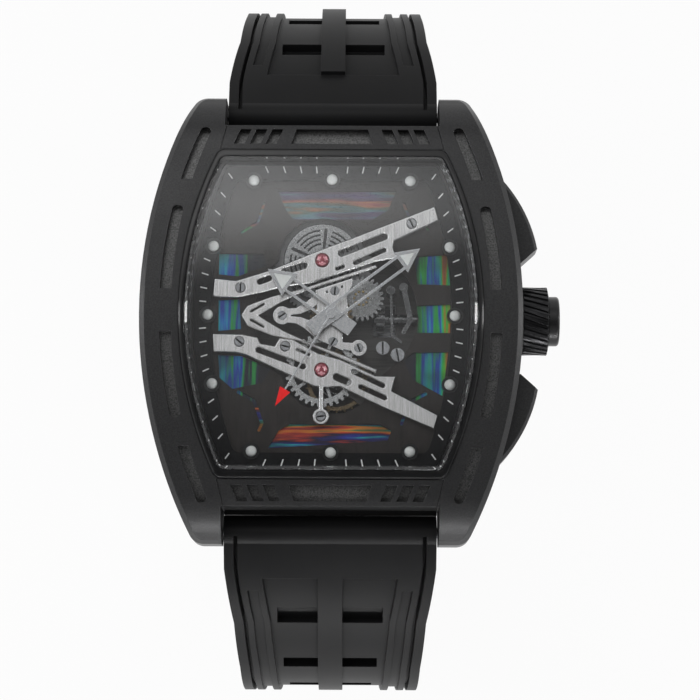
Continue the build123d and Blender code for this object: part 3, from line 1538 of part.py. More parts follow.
def make_buckle_frame():
    y, z = buckle_place()
    outer = Rectangle(2 * frame_outer_half, frame_reach + frame_thickness / 2,
                      align=(Align.CENTER, Align.MAX))
    outer = Pos(0, y + frame_thickness / 2) * outer
    outer = fillet(outer.vertices(), frame_corner / 2)
    inner = Pos(0, y + frame_thickness) * Rectangle(2 * frame_inner_half, frame_reach - frame_cross_width
                                                    + frame_thickness, align=(Align.CENTER, Align.MAX))
    body = plate(outer - inner, z - frame_thickness / 2, z + frame_thickness / 2)
    body = body - rod_x(buckle_bar_radius + seat_gap, -frame_inner_half - frame_cross_width / 2,
                        frame_inner_half + frame_cross_width / 2, y, z)
    groove_width = tongue_width + 2 * running_fit
    groove = block((-groove_width / 2, y - frame_reach - overrun, z - frame_thickness),
                   (groove_width / 2, y - frame_reach + frame_cross_width + overrun,
                    z - frame_thickness / 2 + tongue_thickness / 2))
    return body - groove


def make_buckle_bar():
    y, z = buckle_place()
    end = frame_inner_half + frame_cross_width / 2 - seat_gap
    return rod_x(buckle_bar_radius, -end, end, y, z)


def make_buckle_tongue():
    y, z = buckle_place()
    half = tongue_width / 2
    eye = rod_x(tongue_eye_radius, -half, half, y, z)
    low = z - frame_thickness / 2 - tongue_thickness / 2
    arm = block((-half, y - tongue_length, low), (half, y, low + tongue_thickness))
    tip = block((-half, y - tongue_length - overrun, low + tongue_thickness / 2),
                (half, y - tongue_length + tongue_thickness, low + tongue_thickness + overrun))
    return eye + (arm - tip) - rod_x(buckle_bar_radius + running_fit, -far_reach, far_reach, y, z)


def make_keeper(distance, top_gap):
    """Loop round the buckle half with room under it for the tail."""
    y, z, heading = strap_state(buckle_runs, distance)
    inner_half = strap_edge_half(z) + keeper_side_gap
    top = z + strap_thickness / 2 + top_gap
    bottom = z - strap_thickness / 2 - keeper_tail_room
    half = keeper_length / 2
    outer = block((-inner_half - keeper_wall, y - half, bottom - keeper_wall),
                  (inner_half + keeper_wall, y + half, top + keeper_wall))
    outer = fillet(outer.edges().filter_by(Axis.Y), keeper_round)
    inner = block((-inner_half, y - half - overrun, bottom), (inner_half, y + half + overrun, top))
    return outer - inner


def write_parts():
    os.makedirs("parts", exist_ok=True)
    cock, stud = make_balance_cock()
    hour_hand, hour_lume = make_hour_parts()
    minute_hand, minute_lume = make_minute_parts()
    upper_band = make_upper_band()
    upper_pusher = make_upper_pusher()
    parts = {
        "mid_case": make_mid_case(),
        "bezel": make_bezel(),
        "upper_band": upper_band,
        "lower_band": mirror(upper_band, about=Plane.XZ),
        "crystal_ring": make_crystal_ring(),
        "crystal": make_crystal(),
        "case_back": make_case_back(),
        "case_back_glass": disc(window_radius, 0, window_glass_thickness),
        "case_back_gasket": gasket_ring(0),
        "case_back_screws": make_case_back_screws(),
        "crown_tube": make_crown_tube(),
        "crown": make_crown(),
        "crown_cap": make_crown_cap(),
        "winding_stem": make_winding_stem(),
        "stem_yoke": make_stem_yoke(),
        "upper_pusher": upper_pusher,
        "lower_pusher": mirror(upper_pusher, about=Plane.XZ),
        "main_plate": make_main_plate(),
        "movement_holder": make_movement_holder(),
        "dial_foil": make_dial_foil(),
        "dial_plate": make_dial_plate(),
        "chapter_ring": make_chapter_ring(),
        "minute_ticks": make_minute_ticks(),
        "marker_cups": make_marker_cups(),
        "hour_markers": make_hour_markers(),
        "dial_screws": make_dial_screws(),
        "setting_lever": lever(setting_lever_pixels),
        "yoke_spring": lever(yoke_spring_pixels),
        "upper_bridge": make_upper_bridge(),
        "lower_bridge": make_lower_bridge(),
        "v_rail": make_v_rail(),
        "wishbone": make_wishbone(),
        "bridge_screws": make_bridge_screws(),
        "bridge_posts": make_bridge_posts(),
        "jewels": make_jewels(),
        "barrel": make_barrel(),
        "barrel_cover": make_barrel_cover(),
        "lower_wheel": make_lower_wheel(),
        "crown_wheel": make_crown_wheel(),
        "crown_wheel_post": make_crown_wheel_post(),
        "balance_wheel": make_balance_wheel(),
        "hairspring": make_hairspring(),
        "balance_cock": cock + stud,
        "cannon_pinion": make_cannon_pinion(),
        "hour_hand": hour_hand,
        "hour_lume": hour_lume,
        "minute_hand": minute_hand,
        "minute_lume": minute_lume,
        "seconds_hand": make_seconds_hand(),
        "seconds_tip": make_seconds_tip(),
        "rotor": make_rotor(),
        "rotor_bearing": make_rotor_bearing(),
        "strap_buckle_half": make_strap_buckle_half(),
        "strap_tail_half": make_strap_tail_half(),
        "spring_bars": make_spring_bars(),
        "buckle_frame": make_buckle_frame(),
        "buckle_bar": make_buckle_bar(),
        "buckle_tongue": make_buckle_tongue(),
        "fixed_keeper": make_keeper(fixed_keeper_place, 0),
        "free_keeper": make_keeper(free_keeper_place, keeper_side_gap),
    }
    for node, shape in parts.items():
        export_step(shape, "parts/" + node + ".step")


write_parts()
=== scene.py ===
import bmesh
import bpy
from math import cos, pi, radians, sin
from mathutils import Matrix, Vector


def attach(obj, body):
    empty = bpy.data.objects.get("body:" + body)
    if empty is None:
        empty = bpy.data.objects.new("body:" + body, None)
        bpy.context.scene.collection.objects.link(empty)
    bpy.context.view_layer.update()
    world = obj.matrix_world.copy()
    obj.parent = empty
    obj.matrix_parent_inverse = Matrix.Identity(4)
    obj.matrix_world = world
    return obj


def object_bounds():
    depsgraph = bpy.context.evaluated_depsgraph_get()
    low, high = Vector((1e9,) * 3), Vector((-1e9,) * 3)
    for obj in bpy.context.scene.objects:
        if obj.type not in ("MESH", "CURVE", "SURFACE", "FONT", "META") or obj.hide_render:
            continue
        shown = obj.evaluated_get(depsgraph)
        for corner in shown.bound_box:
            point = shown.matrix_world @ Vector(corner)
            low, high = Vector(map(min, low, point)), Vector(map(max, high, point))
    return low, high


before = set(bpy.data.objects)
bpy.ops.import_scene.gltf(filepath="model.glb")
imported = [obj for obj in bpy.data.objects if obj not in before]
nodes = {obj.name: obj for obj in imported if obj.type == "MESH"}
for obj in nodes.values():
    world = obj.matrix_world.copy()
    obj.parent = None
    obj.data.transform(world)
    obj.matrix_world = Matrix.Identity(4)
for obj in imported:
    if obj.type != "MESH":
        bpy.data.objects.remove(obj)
cad_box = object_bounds()

MILLIMETRE = 0.001
FLOOR_LEVEL = cad_box[0][2]

# The camera: its lean and turn in degrees, its distance in metres and the level that it aims at
VIEW_TILT = 8.0
VIEW_ROLL = 0.3
VIEW_DISTANCE = 0.3
AIM_LEVEL = 10.2

# The picture: millimetres a pixel, and where the hands' centre stands in it
PIXEL = 0.115
IMAGE_SIZE = 700
HANDS_COLUMN = 331.0
HANDS_ROW = 314.0
HANDS_ROW_AT_BRIDGES = 315.6

# The long arc of the watch's front, as its radius and the height of its crest, in millimetres
FRONT_ARC = 110.0
FRONT_CREST = 12.8

# Heights in millimetres
BARREL_GEAR_TOP = 5.05
BRIDGE_SCREW_TOP = 8.7
PLATE_SCREW_TOP = 8.5
DIAL_SCREW_TOP = 7.9
GEM_LEVEL = 8.79

# Screws and stones, as columns and rows of the picture
BRIDGE_SCREWS = ((239.3, 288.0), (411.7, 222.5), (238.8, 342.1), (284.9, 346.6), (321.2, 416.3))
PLATE_SCREWS = ((281.5, 315.4), (333.0, 341.5), (334.5, 290.5), (358.8, 347.6))
DIAL_SCREWS = ((383.0, 347.0), (397.9, 353.6))
JEWELS = ((321.6, 260.0), (321.5, 370.0))

# The middle of the crown wheel's top, in millimetres
CROWN_WHEEL_TOP = (3.45, 2.24, 7.24)

# How much of the floor's white is its own
FLOOR_GLOW = 0.94

# The world's levels: white surroundings, the grey ceiling towards the front and towards the back
# that metal and glass mirror, and the plain light on everything else
SURROUNDINGS = 1.0
FRONT_CEILING = 0.12
BACK_CEILING = 0.5
PLAIN_LIGHT = 0.25


def put(name, data):
    """Adds an object of the data to the scene."""
    thing = bpy.data.objects.new(name, data)
    bpy.context.scene.collection.objects.link(thing)
    return thing


# Materials

class Finish:
    """A material under construction, with short ways to add and join its nodes."""

    def __init__(self, name):
        self.material = bpy.data.materials.new(name)
        self.material.use_nodes = True
        self.tree = self.material.node_tree
        self.tree.nodes.clear()
        self.output = self.tree.nodes.new("ShaderNodeOutputMaterial")
        self.coordinates = self.tree.nodes.new("ShaderNodeTexCoord").outputs

    def add(self, kind, **settings):
        """Adds a node with its settings."""
        node = self.tree.nodes.new("ShaderNode" + kind)
        for name, value in settings.items():
            setattr(node, name, value)
        return node

    def join(self, source, target):
        """Links a socket to another."""
        self.tree.links.new(source, target)

    def surface(self, base, metallic=0.0, roughness=0.5, specular=0.5, coat=0.0):
        """The main shader, straight to the output."""
        shader = self.add("BsdfPrincipled")
        shader.inputs["Base Color"].default_value = (*base, 1)
        shader.inputs["Metallic"].default_value = metallic
        shader.inputs["Roughness"].default_value = roughness
        shader.inputs["Specular IOR Level"].default_value = specular
        shader.inputs["Coat Weight"].default_value = coat
        shader.inputs["Coat Roughness"].default_value = 0.1
        self.join(shader.outputs["BSDF"], self.output.inputs["Surface"])
        return shader

    def blend(self, amount, first, second):
        """Shows the second shader in place of the first, by an amount."""
        mix = self.add("MixShader")
        self.join(amount, mix.inputs["Fac"])
        self.join(first, mix.inputs[1])
        self.join(second, mix.inputs[2])
        self.join(mix.outputs["Shader"], self.output.inputs["Surface"])

    def stretched(self, x=1.0, y=1.0, z=1.0):
        """Object coordinates in millimetres, scaled along each axis."""
        mapping = self.add("Mapping")
        mapping.inputs["Scale"].default_value = (1000 * x, 1000 * y, 1000 * z)
        self.join(self.coordinates["Object"], mapping.inputs["Vector"])
        return mapping.outputs["Vector"]

    def split(self, vector):
        """A vector's parts, by the names of their axes."""
        parts = self.add("SeparateXYZ")
        self.join(vector, parts.inputs["Vector"])
        return parts.outputs

    def noise(self, vector, scale, detail=3.0):
        """Noise with a number of cells per millimetre."""
        texture = self.add("TexNoise")
        texture.inputs["Scale"].default_value = scale
        texture.inputs["Detail"].default_value = detail
        self.join(vector, texture.inputs["Vector"])
        return texture.outputs["Fac"]

    def remap(self, value, low, high, start=0.3, end=0.7):
        """Low to high, as the value goes from start to end."""
        node = self.add("MapRange")
        node.inputs["From Min"].default_value = start
        node.inputs["From Max"].default_value = end
        node.inputs["To Min"].default_value = low
        node.inputs["To Max"].default_value = high
        self.join(value, node.inputs["Value"])
        return node.outputs["Result"]

    def maths(self, operation, first, second=None):
        """One step of arithmetic on sockets or numbers."""
        node = self.add("Math", operation=operation)
        for index, value in enumerate((first, second)):
            if value is None:
                continue
            if isinstance(value, (int, float)):
                node.inputs[index].default_value = value
            else:
                self.join(value, node.inputs[index])
        return node.outputs["Value"]

    def mix_colours(self, factor, first, second, mode="MIX"):
        """Mixes two colours, each a socket or a plain colour."""
        node = self.add("Mix", data_type="RGBA", blend_type=mode)
        if isinstance(factor, float):
            node.inputs["Factor"].default_value = factor
        else:
            self.join(factor, node.inputs["Factor"])
        for name, colour in (("A", first), ("B", second)):
            if isinstance(colour, tuple):
                node.inputs[name].default_value = (*colour, 1)
            else:
                self.join(colour, node.inputs[name])
        return node.outputs["Result"]

    def mottle(self, noise, dark, light):
        """Dark to light by a noise."""
        return self.mix_colours(self.remap(noise, 0, 1), dark, light)

    def ramp(self, factor, stops):
        """Colours along a line, by places and colours."""
        node = self.add("ValToRGB")
        elements = node.color_ramp.elements
        elements[0].position, elements[0].color = stops[0][0], (*stops[0][1], 1)
        elements[1].position, elements[1].color = stops[1][0], (*stops[1][1], 1)
        for position, colour in stops[2:]:
            elements.new(position).color = (*colour, 1)
        self.join(factor, node.inputs["Fac"])
        return node.outputs["Color"]

    def edge_highlight_mask(self, reach):
        """Mask for the painted edge highlight: one on the rounded strip along each edge, nought on
        the flats.
        """
        soft = self.add("Bevel", samples=6)
        soft.inputs["Radius"].default_value = reach * MILLIMETRE
        product = self.add("VectorMath", operation="DOT_PRODUCT")
        self.join(soft.outputs["Normal"], product.inputs[0])
        self.join(self.add("NewGeometry").outputs["Normal"], product.inputs[1])
        return self.remap(product.outputs["Value"], 0.0, 1.0, 0.995, 0.93)

    def relief(self, shader, height, depth, rounding=0.0):
        """Fine relief of a depth in millimetres, over edges that are rounded by a radius."""
        bump = self.add("Bump")
        bump.inputs["Distance"].default_value = depth * MILLIMETRE
        self.join(height, bump.inputs["Height"])
        if rounding > 0:
            soft = self.add("Bevel", samples=4)
            soft.inputs["Radius"].default_value = rounding * MILLIMETRE
            self.join(soft.outputs["Normal"], bump.inputs["Normal"])
        self.join(bump.outputs["Normal"], shader.inputs["Normal"])


def grained_metal(name, dark, light, grain=5.0, roughness=(0.4, 0.6), metallic=0.0, depth=0.01,
                  specular=0.5, coat=0.0, rounding=0.0):
    """Blasted, painted or moulded surface: fine grain in colour and relief, and cloudy gloss."""
    finish = Finish(name)
    shader = finish.surface(dark, metallic=metallic, specular=specular, coat=coat)
    even = finish.stretched()
    speckle = finish.noise(even, grain, 2.0)
    cloud = finish.noise(even, 0.12, 3.0)
    finish.join(finish.mottle(speckle, dark, light), shader.inputs["Base Color"])
    finish.join(finish.remap(cloud, *roughness), shader.inputs["Roughness"])
    finish.relief(shader, speckle, depth, rounding)
    return finish.material


def brushed_metal(name, dark, light, stretch, roughness=(0.22, 0.32), depth=0.0015, metallic=1.0,
                  specular=0.5, rounding=0.0, edge=None):
    """Fine scratches drawn out along one direction, and a painted highlight: edges painted lighter
    in a colour of their own.
    """
    finish = Finish(name)
    shader = finish.surface(light, metallic=metallic, specular=specular)
    strokes = finish.noise(finish.stretched(*stretch), 1.0, 3.0)
    colour = finish.mottle(strokes, dark, light)
    # Painted highlight: the colour given as edge is painted along the edges.
    if edge:
        colour = finish.mix_colours(finish.edge_highlight_mask(rounding), colour, edge)
    finish.join(colour, shader.inputs["Base Color"])
    finish.join(finish.remap(strokes, *roughness), shader.inputs["Roughness"])
    finish.relief(shader, strokes, depth, rounding)
    return finish.material


def blasted_black(name, sunken_by, end, grain=6.0):
    """Black blasted face along the front's arc; its sunken slot floors are coarser and paler."""
    finish = Finish(name)
    shader = finish.surface((0.03, 0.03, 0.03), metallic=0.4, specular=0.4)
    even = finish.stretched()
    place = finish.split(even)
    along = place["Y"]
    from_axis = finish.maths("SUBTRACT", place["Z"], FRONT_CREST - FRONT_ARC)
    reach = finish.maths("SQRT", finish.maths("ADD", finish.maths("MULTIPLY", along, along),
                                              finish.maths("MULTIPLY", from_axis, from_axis)))
    sunken = finish.maths("LESS_THAN", reach, FRONT_ARC - sunken_by)
    upward = finish.maths("GREATER_THAN", finish.split(finish.coordinates["Normal"])["Z"], 0.85)
    within = finish.maths("LESS_THAN", finish.maths("ABSOLUTE", along), end)
    floor = finish.maths("MULTIPLY", finish.maths("MULTIPLY", sunken, upward), within)
    speckle = finish.noise(even, grain, 2.0)
    cloud = finish.noise(even, 0.1, 3.0)
    face = finish.mottle(speckle, (0.02, 0.02, 0.021), (0.036, 0.036, 0.037))
    sunk = finish.mottle(speckle, (0.04, 0.04, 0.04), (0.15, 0.15, 0.15))
    finish.join(finish.mix_colours(floor, face, sunk), shader.inputs["Base Color"])
    finish.join(finish.remap(cloud, 0.34, 0.44), shader.inputs["Roughness"])
    finish.relief(shader, speckle, 0.007, 0.12)
    return finish.material


def moulded_rubber():
    """Strap rubber: soft grain, faint patches and a slight sheen."""
    finish = Finish("moulded_rubber")
    shader = finish.surface((0.012, 0.012, 0.013), specular=0.16)
    shader.inputs["Sheen Weight"].default_value = 0.02
    shader.inputs["Sheen Roughness"].default_value = 0.5
    even = finish.stretched()
    grain = finish.noise(even, 7.0, 2.0)
    patches = finish.noise(even, 0.08, 4.0)
    colour = finish.mottle(patches, (0.007, 0.007, 0.0075), (0.011, 0.011, 0.0115))
    finish.join(colour, shader.inputs["Base Color"])
    finish.join(finish.remap(patches, 0.42, 0.52), shader.inputs["Roughness"])
    finish.relief(shader, grain, 0.006, 0.15)
    return finish.material


def clear_glass(name):
    """Sapphire that light passes straight through on its way to the dial."""
    finish = Finish(name)
    shader = finish.surface((0.97, 0.985, 1.0), roughness=0.0)
    shader.inputs["Transmission Weight"].default_value = 1.0
    shader.inputs["IOR"].default_value = 1.42
    smear = finish.noise(finish.stretched(), 0.2, 2.0)
    tint = finish.mix_colours(smear, (0.94, 0.96, 0.98), (0.98, 0.99, 1.0))
    finish.join(tint, shader.inputs["Base Color"])
    path = finish.add("LightPath")
    clear = finish.add("BsdfTransparent")
    finish.blend(path.outputs["Is Shadow Ray"], shader.outputs["BSDF"], clear.outputs["BSDF"])
    return finish.material


def cut_ruby():
    """Ruby with painted highlights: facets are painted lighter by the way they face, over a deep
    red.
    """
    finish = Finish("cut_ruby")
    shader = finish.surface((0.4, 0.03, 0.06), roughness=0.12, coat=0.4)
    facing = finish.split(finish.coordinates["Normal"])
    # Painted highlight on the facets, by the way each one faces.
    around = finish.maths("ARCTAN2", facing["Y"], facing["X"])
    waves = finish.maths("SINE", finish.maths("MULTIPLY", around, 3.0))
    slope = finish.remap(facing["Z"], 1.0, 0.0, 0.9, 0.99)
    facet_highlight = finish.maths("MULTIPLY", finish.remap(waves, 0.0, 1.0, -0.6, 0.9), slope)
    cloud = finish.noise(finish.stretched(), 2.0, 2.0)
    deep = finish.mix_colours(cloud, (0.1, 0.004, 0.012), (0.3, 0.015, 0.035))
    finish.join(finish.mix_colours(facet_highlight, deep, (0.75, 0.32, 0.36)), shader.inputs["Base Color"])
    finish.relief(shader, cloud, 0.0005)
    return finish.material


def diffracting_foil():
    """Foil whose colours from split light are painted in as painted reflection: upright bars at the
    sides, level streaks at the ends.
    """
    finish = Finish("diffracting_foil")
    shader = finish.surface((0.02, 0.1, 0.1), metallic=0.4, roughness=0.35)
    side_start, side_end, end_start = 9.3, 14.6, 10.6
    place = finish.split(finish.stretched())
    across = finish.maths("ABSOLUTE", place["X"])
    along = finish.maths("ABSOLUTE", place["Y"])
    drift = finish.noise(finish.stretched(1.0, 0.06, 1), 1.0, 2.0)
    side_place = finish.maths("ADD", finish.remap(across, 0.0, 0.8, side_start, side_end),
                              finish.remap(drift, -0.14, 0.3))
    sides = finish.ramp(side_place, ((0.0, (0.004, 0.004, 0.008)), (0.2, (0.006, 0.008, 0.03)),
                                     (0.33, (0.01, 0.3, 0.04)), (0.43, (0.006, 0.03, 0.34)),
                                     (0.56, (0.005, 0.3, 0.34)), (0.68, (0.02, 0.4, 0.03)),
                                     (0.8, (0.4, 0.12, 0.01)), (1.0, (0.1, 0.01, 0.015))))
    streaks = finish.noise(finish.stretched(0.11, 1.3, 1), 1.0, 3.0)
    end_place = finish.maths("FRACT", finish.maths("ADD", finish.maths("MULTIPLY", along, 0.34),
                                                   finish.maths("MULTIPLY", streaks, 1.9)))
    ends = finish.ramp(end_place, ((0.0, (0.012, 0.015, 0.16)), (0.16, (0.01, 0.26, 0.28)),
                                   (0.3, (0.03, 0.12, 0.04)), (0.44, (0.5, 0.17, 0.015)),
                                   (0.58, (0.36, 0.03, 0.012)), (0.76, (0.01, 0.006, 0.02)),
                                   (1.0, (0.012, 0.015, 0.16))))
    # The painted reflection at the ends is duskier at the top end.
    top = finish.maths("GREATER_THAN", place["Y"], 0.0)
    dusky = finish.mix_colours(0.6, ends, (0.075, 0.04, 0.05))
    ends = finish.mix_colours(top, ends, dusky)
    is_end = finish.maths("GREATER_THAN", along, end_start)
    patches = finish.noise(finish.stretched(0.2, 0.2, 1), 1.0, 2.0)
    shade = finish.add("CombineColor")
    for name in ("Red", "Green", "Blue"):
        finish.join(finish.remap(patches, 0.35, 1.25), shade.inputs[name])
    colours = finish.mix_colours(is_end, sides, ends)
    colours = finish.mix_colours(1.0, colours, shade.outputs["Color"], "MULTIPLY")
    finish.join(colours, shader.inputs["Base Color"])
    finish.relief(shader, streaks, 0.004)
    return finish.material


def drum_steel():
    """Steel of the barrel's gear, with a dark drum over it that shows through the cover's slots."""
    finish = Finish("drum_steel")
    shader = finish.surface((0.3, 0.3, 0.3), metallic=1.0, roughness=0.35)
    even = finish.stretched()
    grain = finish.noise(even, 2.0, 2.0)
    steel = finish.mottle(grain, (0.3, 0.3, 0.3), (0.38, 0.38, 0.38))
    dark = finish.mottle(grain, (0.012, 0.012, 0.012), (0.03, 0.03, 0.03))
    drum = finish.maths("GREATER_THAN", finish.split(even)["Z"], BARREL_GEAR_TOP)
    finish.join(finish.mix_colours(drum, steel, dark), shader.inputs["Base Color"])
    finish.relief(shader, grain, 0.002)
    return finish.material


def dress(material, *names):
    """Gives the material to whole parts of the frame."""
    for name in names:
        part = nodes[name]
        if not part.material_slots:
            part.data.materials.append(material)
        for slot in part.material_slots:
            slot.material = material


def dress_case():
    """Finishes of the case, crown, pushers and strap."""
    dress(blasted_black("blasted_case", 0.5, 22.1), "bezel")
    dress(blasted_black("blasted_band", 0.4, 21.7, grain=5.0), "upper_band", "lower_band")
    dress(grained_metal("blasted_flank", (0.018, 0.018, 0.019), (0.032, 0.032, 0.033), grain=6.0,
                        roughness=(0.34, 0.44), metallic=0.4, depth=0.007, rounding=0.12),
          "mid_case", "upper_pusher", "lower_pusher")
    dress(grained_metal("polished_black", (0.005, 0.005, 0.0055), (0.009, 0.009, 0.0095),
                        grain=1.0, roughness=(0.06, 0.1), depth=0.0003, specular=0.35,
                        rounding=0.4),
          "crystal_ring", "buckle_frame", "buckle_tongue")
    dress(grained_metal("satin_black", (0.02, 0.02, 0.021), (0.035, 0.035, 0.037), grain=3.0,
                        roughness=(0.2, 0.28), metallic=0.8, depth=0.002, rounding=0.08), "crown")
    dress(grained_metal("cap_black", (0.02, 0.02, 0.02), (0.03, 0.03, 0.031), grain=6.0,
                        roughness=(0.24, 0.32), metallic=0.6, depth=0.004), "crown_cap")
    dress(clear_glass("sapphire"), "crystal", "case_back_glass")
    dress(brushed_metal("back_steel", (0.14, 0.14, 0.145), (0.24, 0.24, 0.25), (0.15, 5, 5)),
          "case_back", "crown_tube", "spring_bars", "buckle_bar")
    dress(grained_metal("seal_rubber", (0.01, 0.01, 0.01), (0.02, 0.02, 0.02)),
          "case_back_gasket")
    dress(moulded_rubber(), "strap_buckle_half", "strap_tail_half", "fixed_keeper", "free_keeper")


def dress_movement():
    """Finishes of the movement, dial and hands."""
    dress(brushed_metal("polished_screw", (0.34, 0.34, 0.345), (0.42, 0.42, 0.43), (1.5, 1.5, 1.5),
                        roughness=(0.16, 0.24), rounding=0.05),
          "case_back_screws", "bridge_screws", "dial_screws")
    dress(brushed_metal("dark_works", (0.03, 0.027, 0.025), (0.06, 0.055, 0.05), (0.3, 5, 5),
                        roughness=(0.36, 0.46), metallic=0.3),
          "main_plate", "bridge_posts", "balance_cock")
    dress(grained_metal("holder_black", (0.012, 0.012, 0.012), (0.02, 0.02, 0.02)),
          "movement_holder")
    dress(diffracting_foil(), "dial_foil")
    dress(brushed_metal("dial_dark", (0.018, 0.0155, 0.014), (0.028, 0.024, 0.022),
                        (2.5, 0.2, 2.5), roughness=(0.4, 0.5), metallic=0.1, specular=0.12),
          "dial_plate")
    dress(grained_metal("track_black", (0.003, 0.003, 0.0035), (0.006, 0.006, 0.0065), grain=4.0,
                        roughness=(0.45, 0.6), depth=0.001, specular=0.06), "chapter_ring")
    dress(grained_metal("cup_black", (0.006, 0.006, 0.006), (0.012, 0.012, 0.012),
                        roughness=(0.14, 0.2), metallic=0.5, depth=0.0005), "marker_cups")
    dress(grained_metal("tick_white", (0.6, 0.6, 0.59), (0.72, 0.72, 0.7), depth=0.001),
          "minute_ticks")
    dress(grained_metal("lume_white", (0.5, 0.51, 0.49), (0.58, 0.59, 0.57), grain=8.0,
                        depth=0.003, specular=0.2),
          "hour_markers", "hour_lume", "minute_lume")
    # Bridges, wheels, levers and hands get painted edge highlights.
    dress(brushed_metal("bridge_steel", (0.6, 0.585, 0.57), (0.76, 0.745, 0.73), (7.0, 0.25, 7.0),
                        roughness=(0.2, 0.26), depth=0.0006, rounding=0.1, edge=(0.98, 0.98, 0.98)),
          "upper_bridge", "lower_bridge", "v_rail", "wishbone")
    dress(drum_steel(), "barrel")
    dress(brushed_metal("wheel_steel", (0.36, 0.36, 0.355), (0.44, 0.44, 0.435), (5.0, 5.0, 5.0),
                        rounding=0.06, edge=(0.7, 0.7, 0.7)),
          "lower_wheel", "rotor_bearing", "hairspring")
    dress(brushed_metal("ratchet_steel", (0.24, 0.24, 0.24), (0.3, 0.3, 0.295), (5.0, 5.0, 5.0),
                        rounding=0.06, edge=(0.6, 0.6, 0.6)),
          "barrel_cover", "crown_wheel", "crown_wheel_post")
    dress(brushed_metal("lever_steel", (0.1, 0.1, 0.1), (0.16, 0.16, 0.16), (1.2, 1.2, 1.2),
                        rounding=0.06, edge=(0.4, 0.4, 0.4)),
          "setting_lever", "yoke_spring", "winding_stem", "stem_yoke")
    dress(brushed_metal("wheel_bronze", (0.1, 0.075, 0.045), (0.2, 0.15, 0.09), (1.5, 1.5, 1.5)),
          "cannon_pinion", "balance_wheel")
    dress(brushed_metal("hand_steel", (0.5, 0.5, 0.5), (0.56, 0.56, 0.56), (4, 4, 4),
                        roughness=(0.16, 0.22), depth=0.0003, rounding=0.06,
                        edge=(0.95, 0.95, 0.95)),
          "hour_hand", "minute_hand", "seconds_hand")
    dress(grained_metal("hand_red", (0.6, 0.003, 0.003), (0.68, 0.005, 0.005), roughness=(0.4, 0.5),
                        depth=0.0005, specular=0.1), "seconds_tip")
    dress(grained_metal("ruby", (0.14, 0.008, 0.02), (0.24, 0.015, 0.03), grain=1.5,
                        roughness=(0.05, 0.1), depth=0.002, coat=0.4), "jewels")
    dress(brushed_metal("rotor_steel", (0.2, 0.2, 0.205), (0.34, 0.34, 0.35), (0.2, 5, 5),
                        rounding=0.06), "rotor")


# Repeated trim, grown from marks by small geometry trees

class Pattern:
    """A geometry tree under construction: it takes marks and named sizes, and gives solid trim."""

    def __init__(self, name, **sizes):
        self.tree = bpy.data.node_groups.new(name, "GeometryNodeTree")
        interface = self.tree.interface
        interface.new_socket("Marks", in_out="INPUT", socket_type="NodeSocketGeometry")
        for size, value in sizes.items():
            kind = "NodeSocketInt" if isinstance(value, int) else "NodeSocketFloat"
            interface.new_socket(size, in_out="INPUT", socket_type=kind)
        interface.new_socket("Trim", in_out="OUTPUT", socket_type="NodeSocketGeometry")
        self.sizes = sizes
        self.given = self.tree.nodes.new("NodeGroupInput").outputs
        self.result = self.tree.nodes.new("NodeGroupOutput").inputs["Trim"]

    def add(self, kind, joins=(), **settings):
        """Adds a node; joins maps its input names to sockets or values."""
        node = self.tree.nodes.new(kind)
        for name, value in settings.items():
            setattr(node, name, value)
        for name, value in dict(joins).items():
            if isinstance(value, bpy.types.NodeSocket):
                self.tree.links.new(value, node.inputs[name])
            else:
                node.inputs[name].default_value = value
        return node

    def finish(self, geometry, material):
        """Makes the instances real, gives them the material and ends the tree."""
        solid = self.add("GeometryNodeRealizeInstances", {"Geometry": geometry}).outputs["Geometry"]
        dressed = self.add("GeometryNodeSetMaterial", {"Geometry": solid, "Material": material})
        self.tree.links.new(dressed.outputs["Geometry"], self.result)
        return self


def grow(name, pattern, marks, body, turns=None):
    """Evaluates a pattern on marks in millimetres, and keeps the result as one plain piece."""
    mesh = bpy.data.meshes.new(name)
    mesh.from_pydata([[value * MILLIMETRE for value in mark] for mark in marks], [], [])
    if turns:
        turn = mesh.attributes.new("turn", "FLOAT", "POINT")
        for index, value in enumerate(turns):
            turn.data[index].value = radians(value)
    piece = put(name, mesh)
    growth = piece.modifiers.new("growth", "NODES")
    growth.node_group = pattern.tree
    for item in pattern.tree.interface.items_tree:
        if item.in_out == "INPUT" and item.name in pattern.sizes:
            growth[item.identifier] = pattern.sizes[item.name]
    bpy.context.view_layer.update()
    grown = piece.evaluated_get(bpy.context.evaluated_depsgraph_get())
    plain = bpy.data.meshes.new_from_object(grown)
    piece.modifiers.clear()
    piece.data = plain
    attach(piece, body)


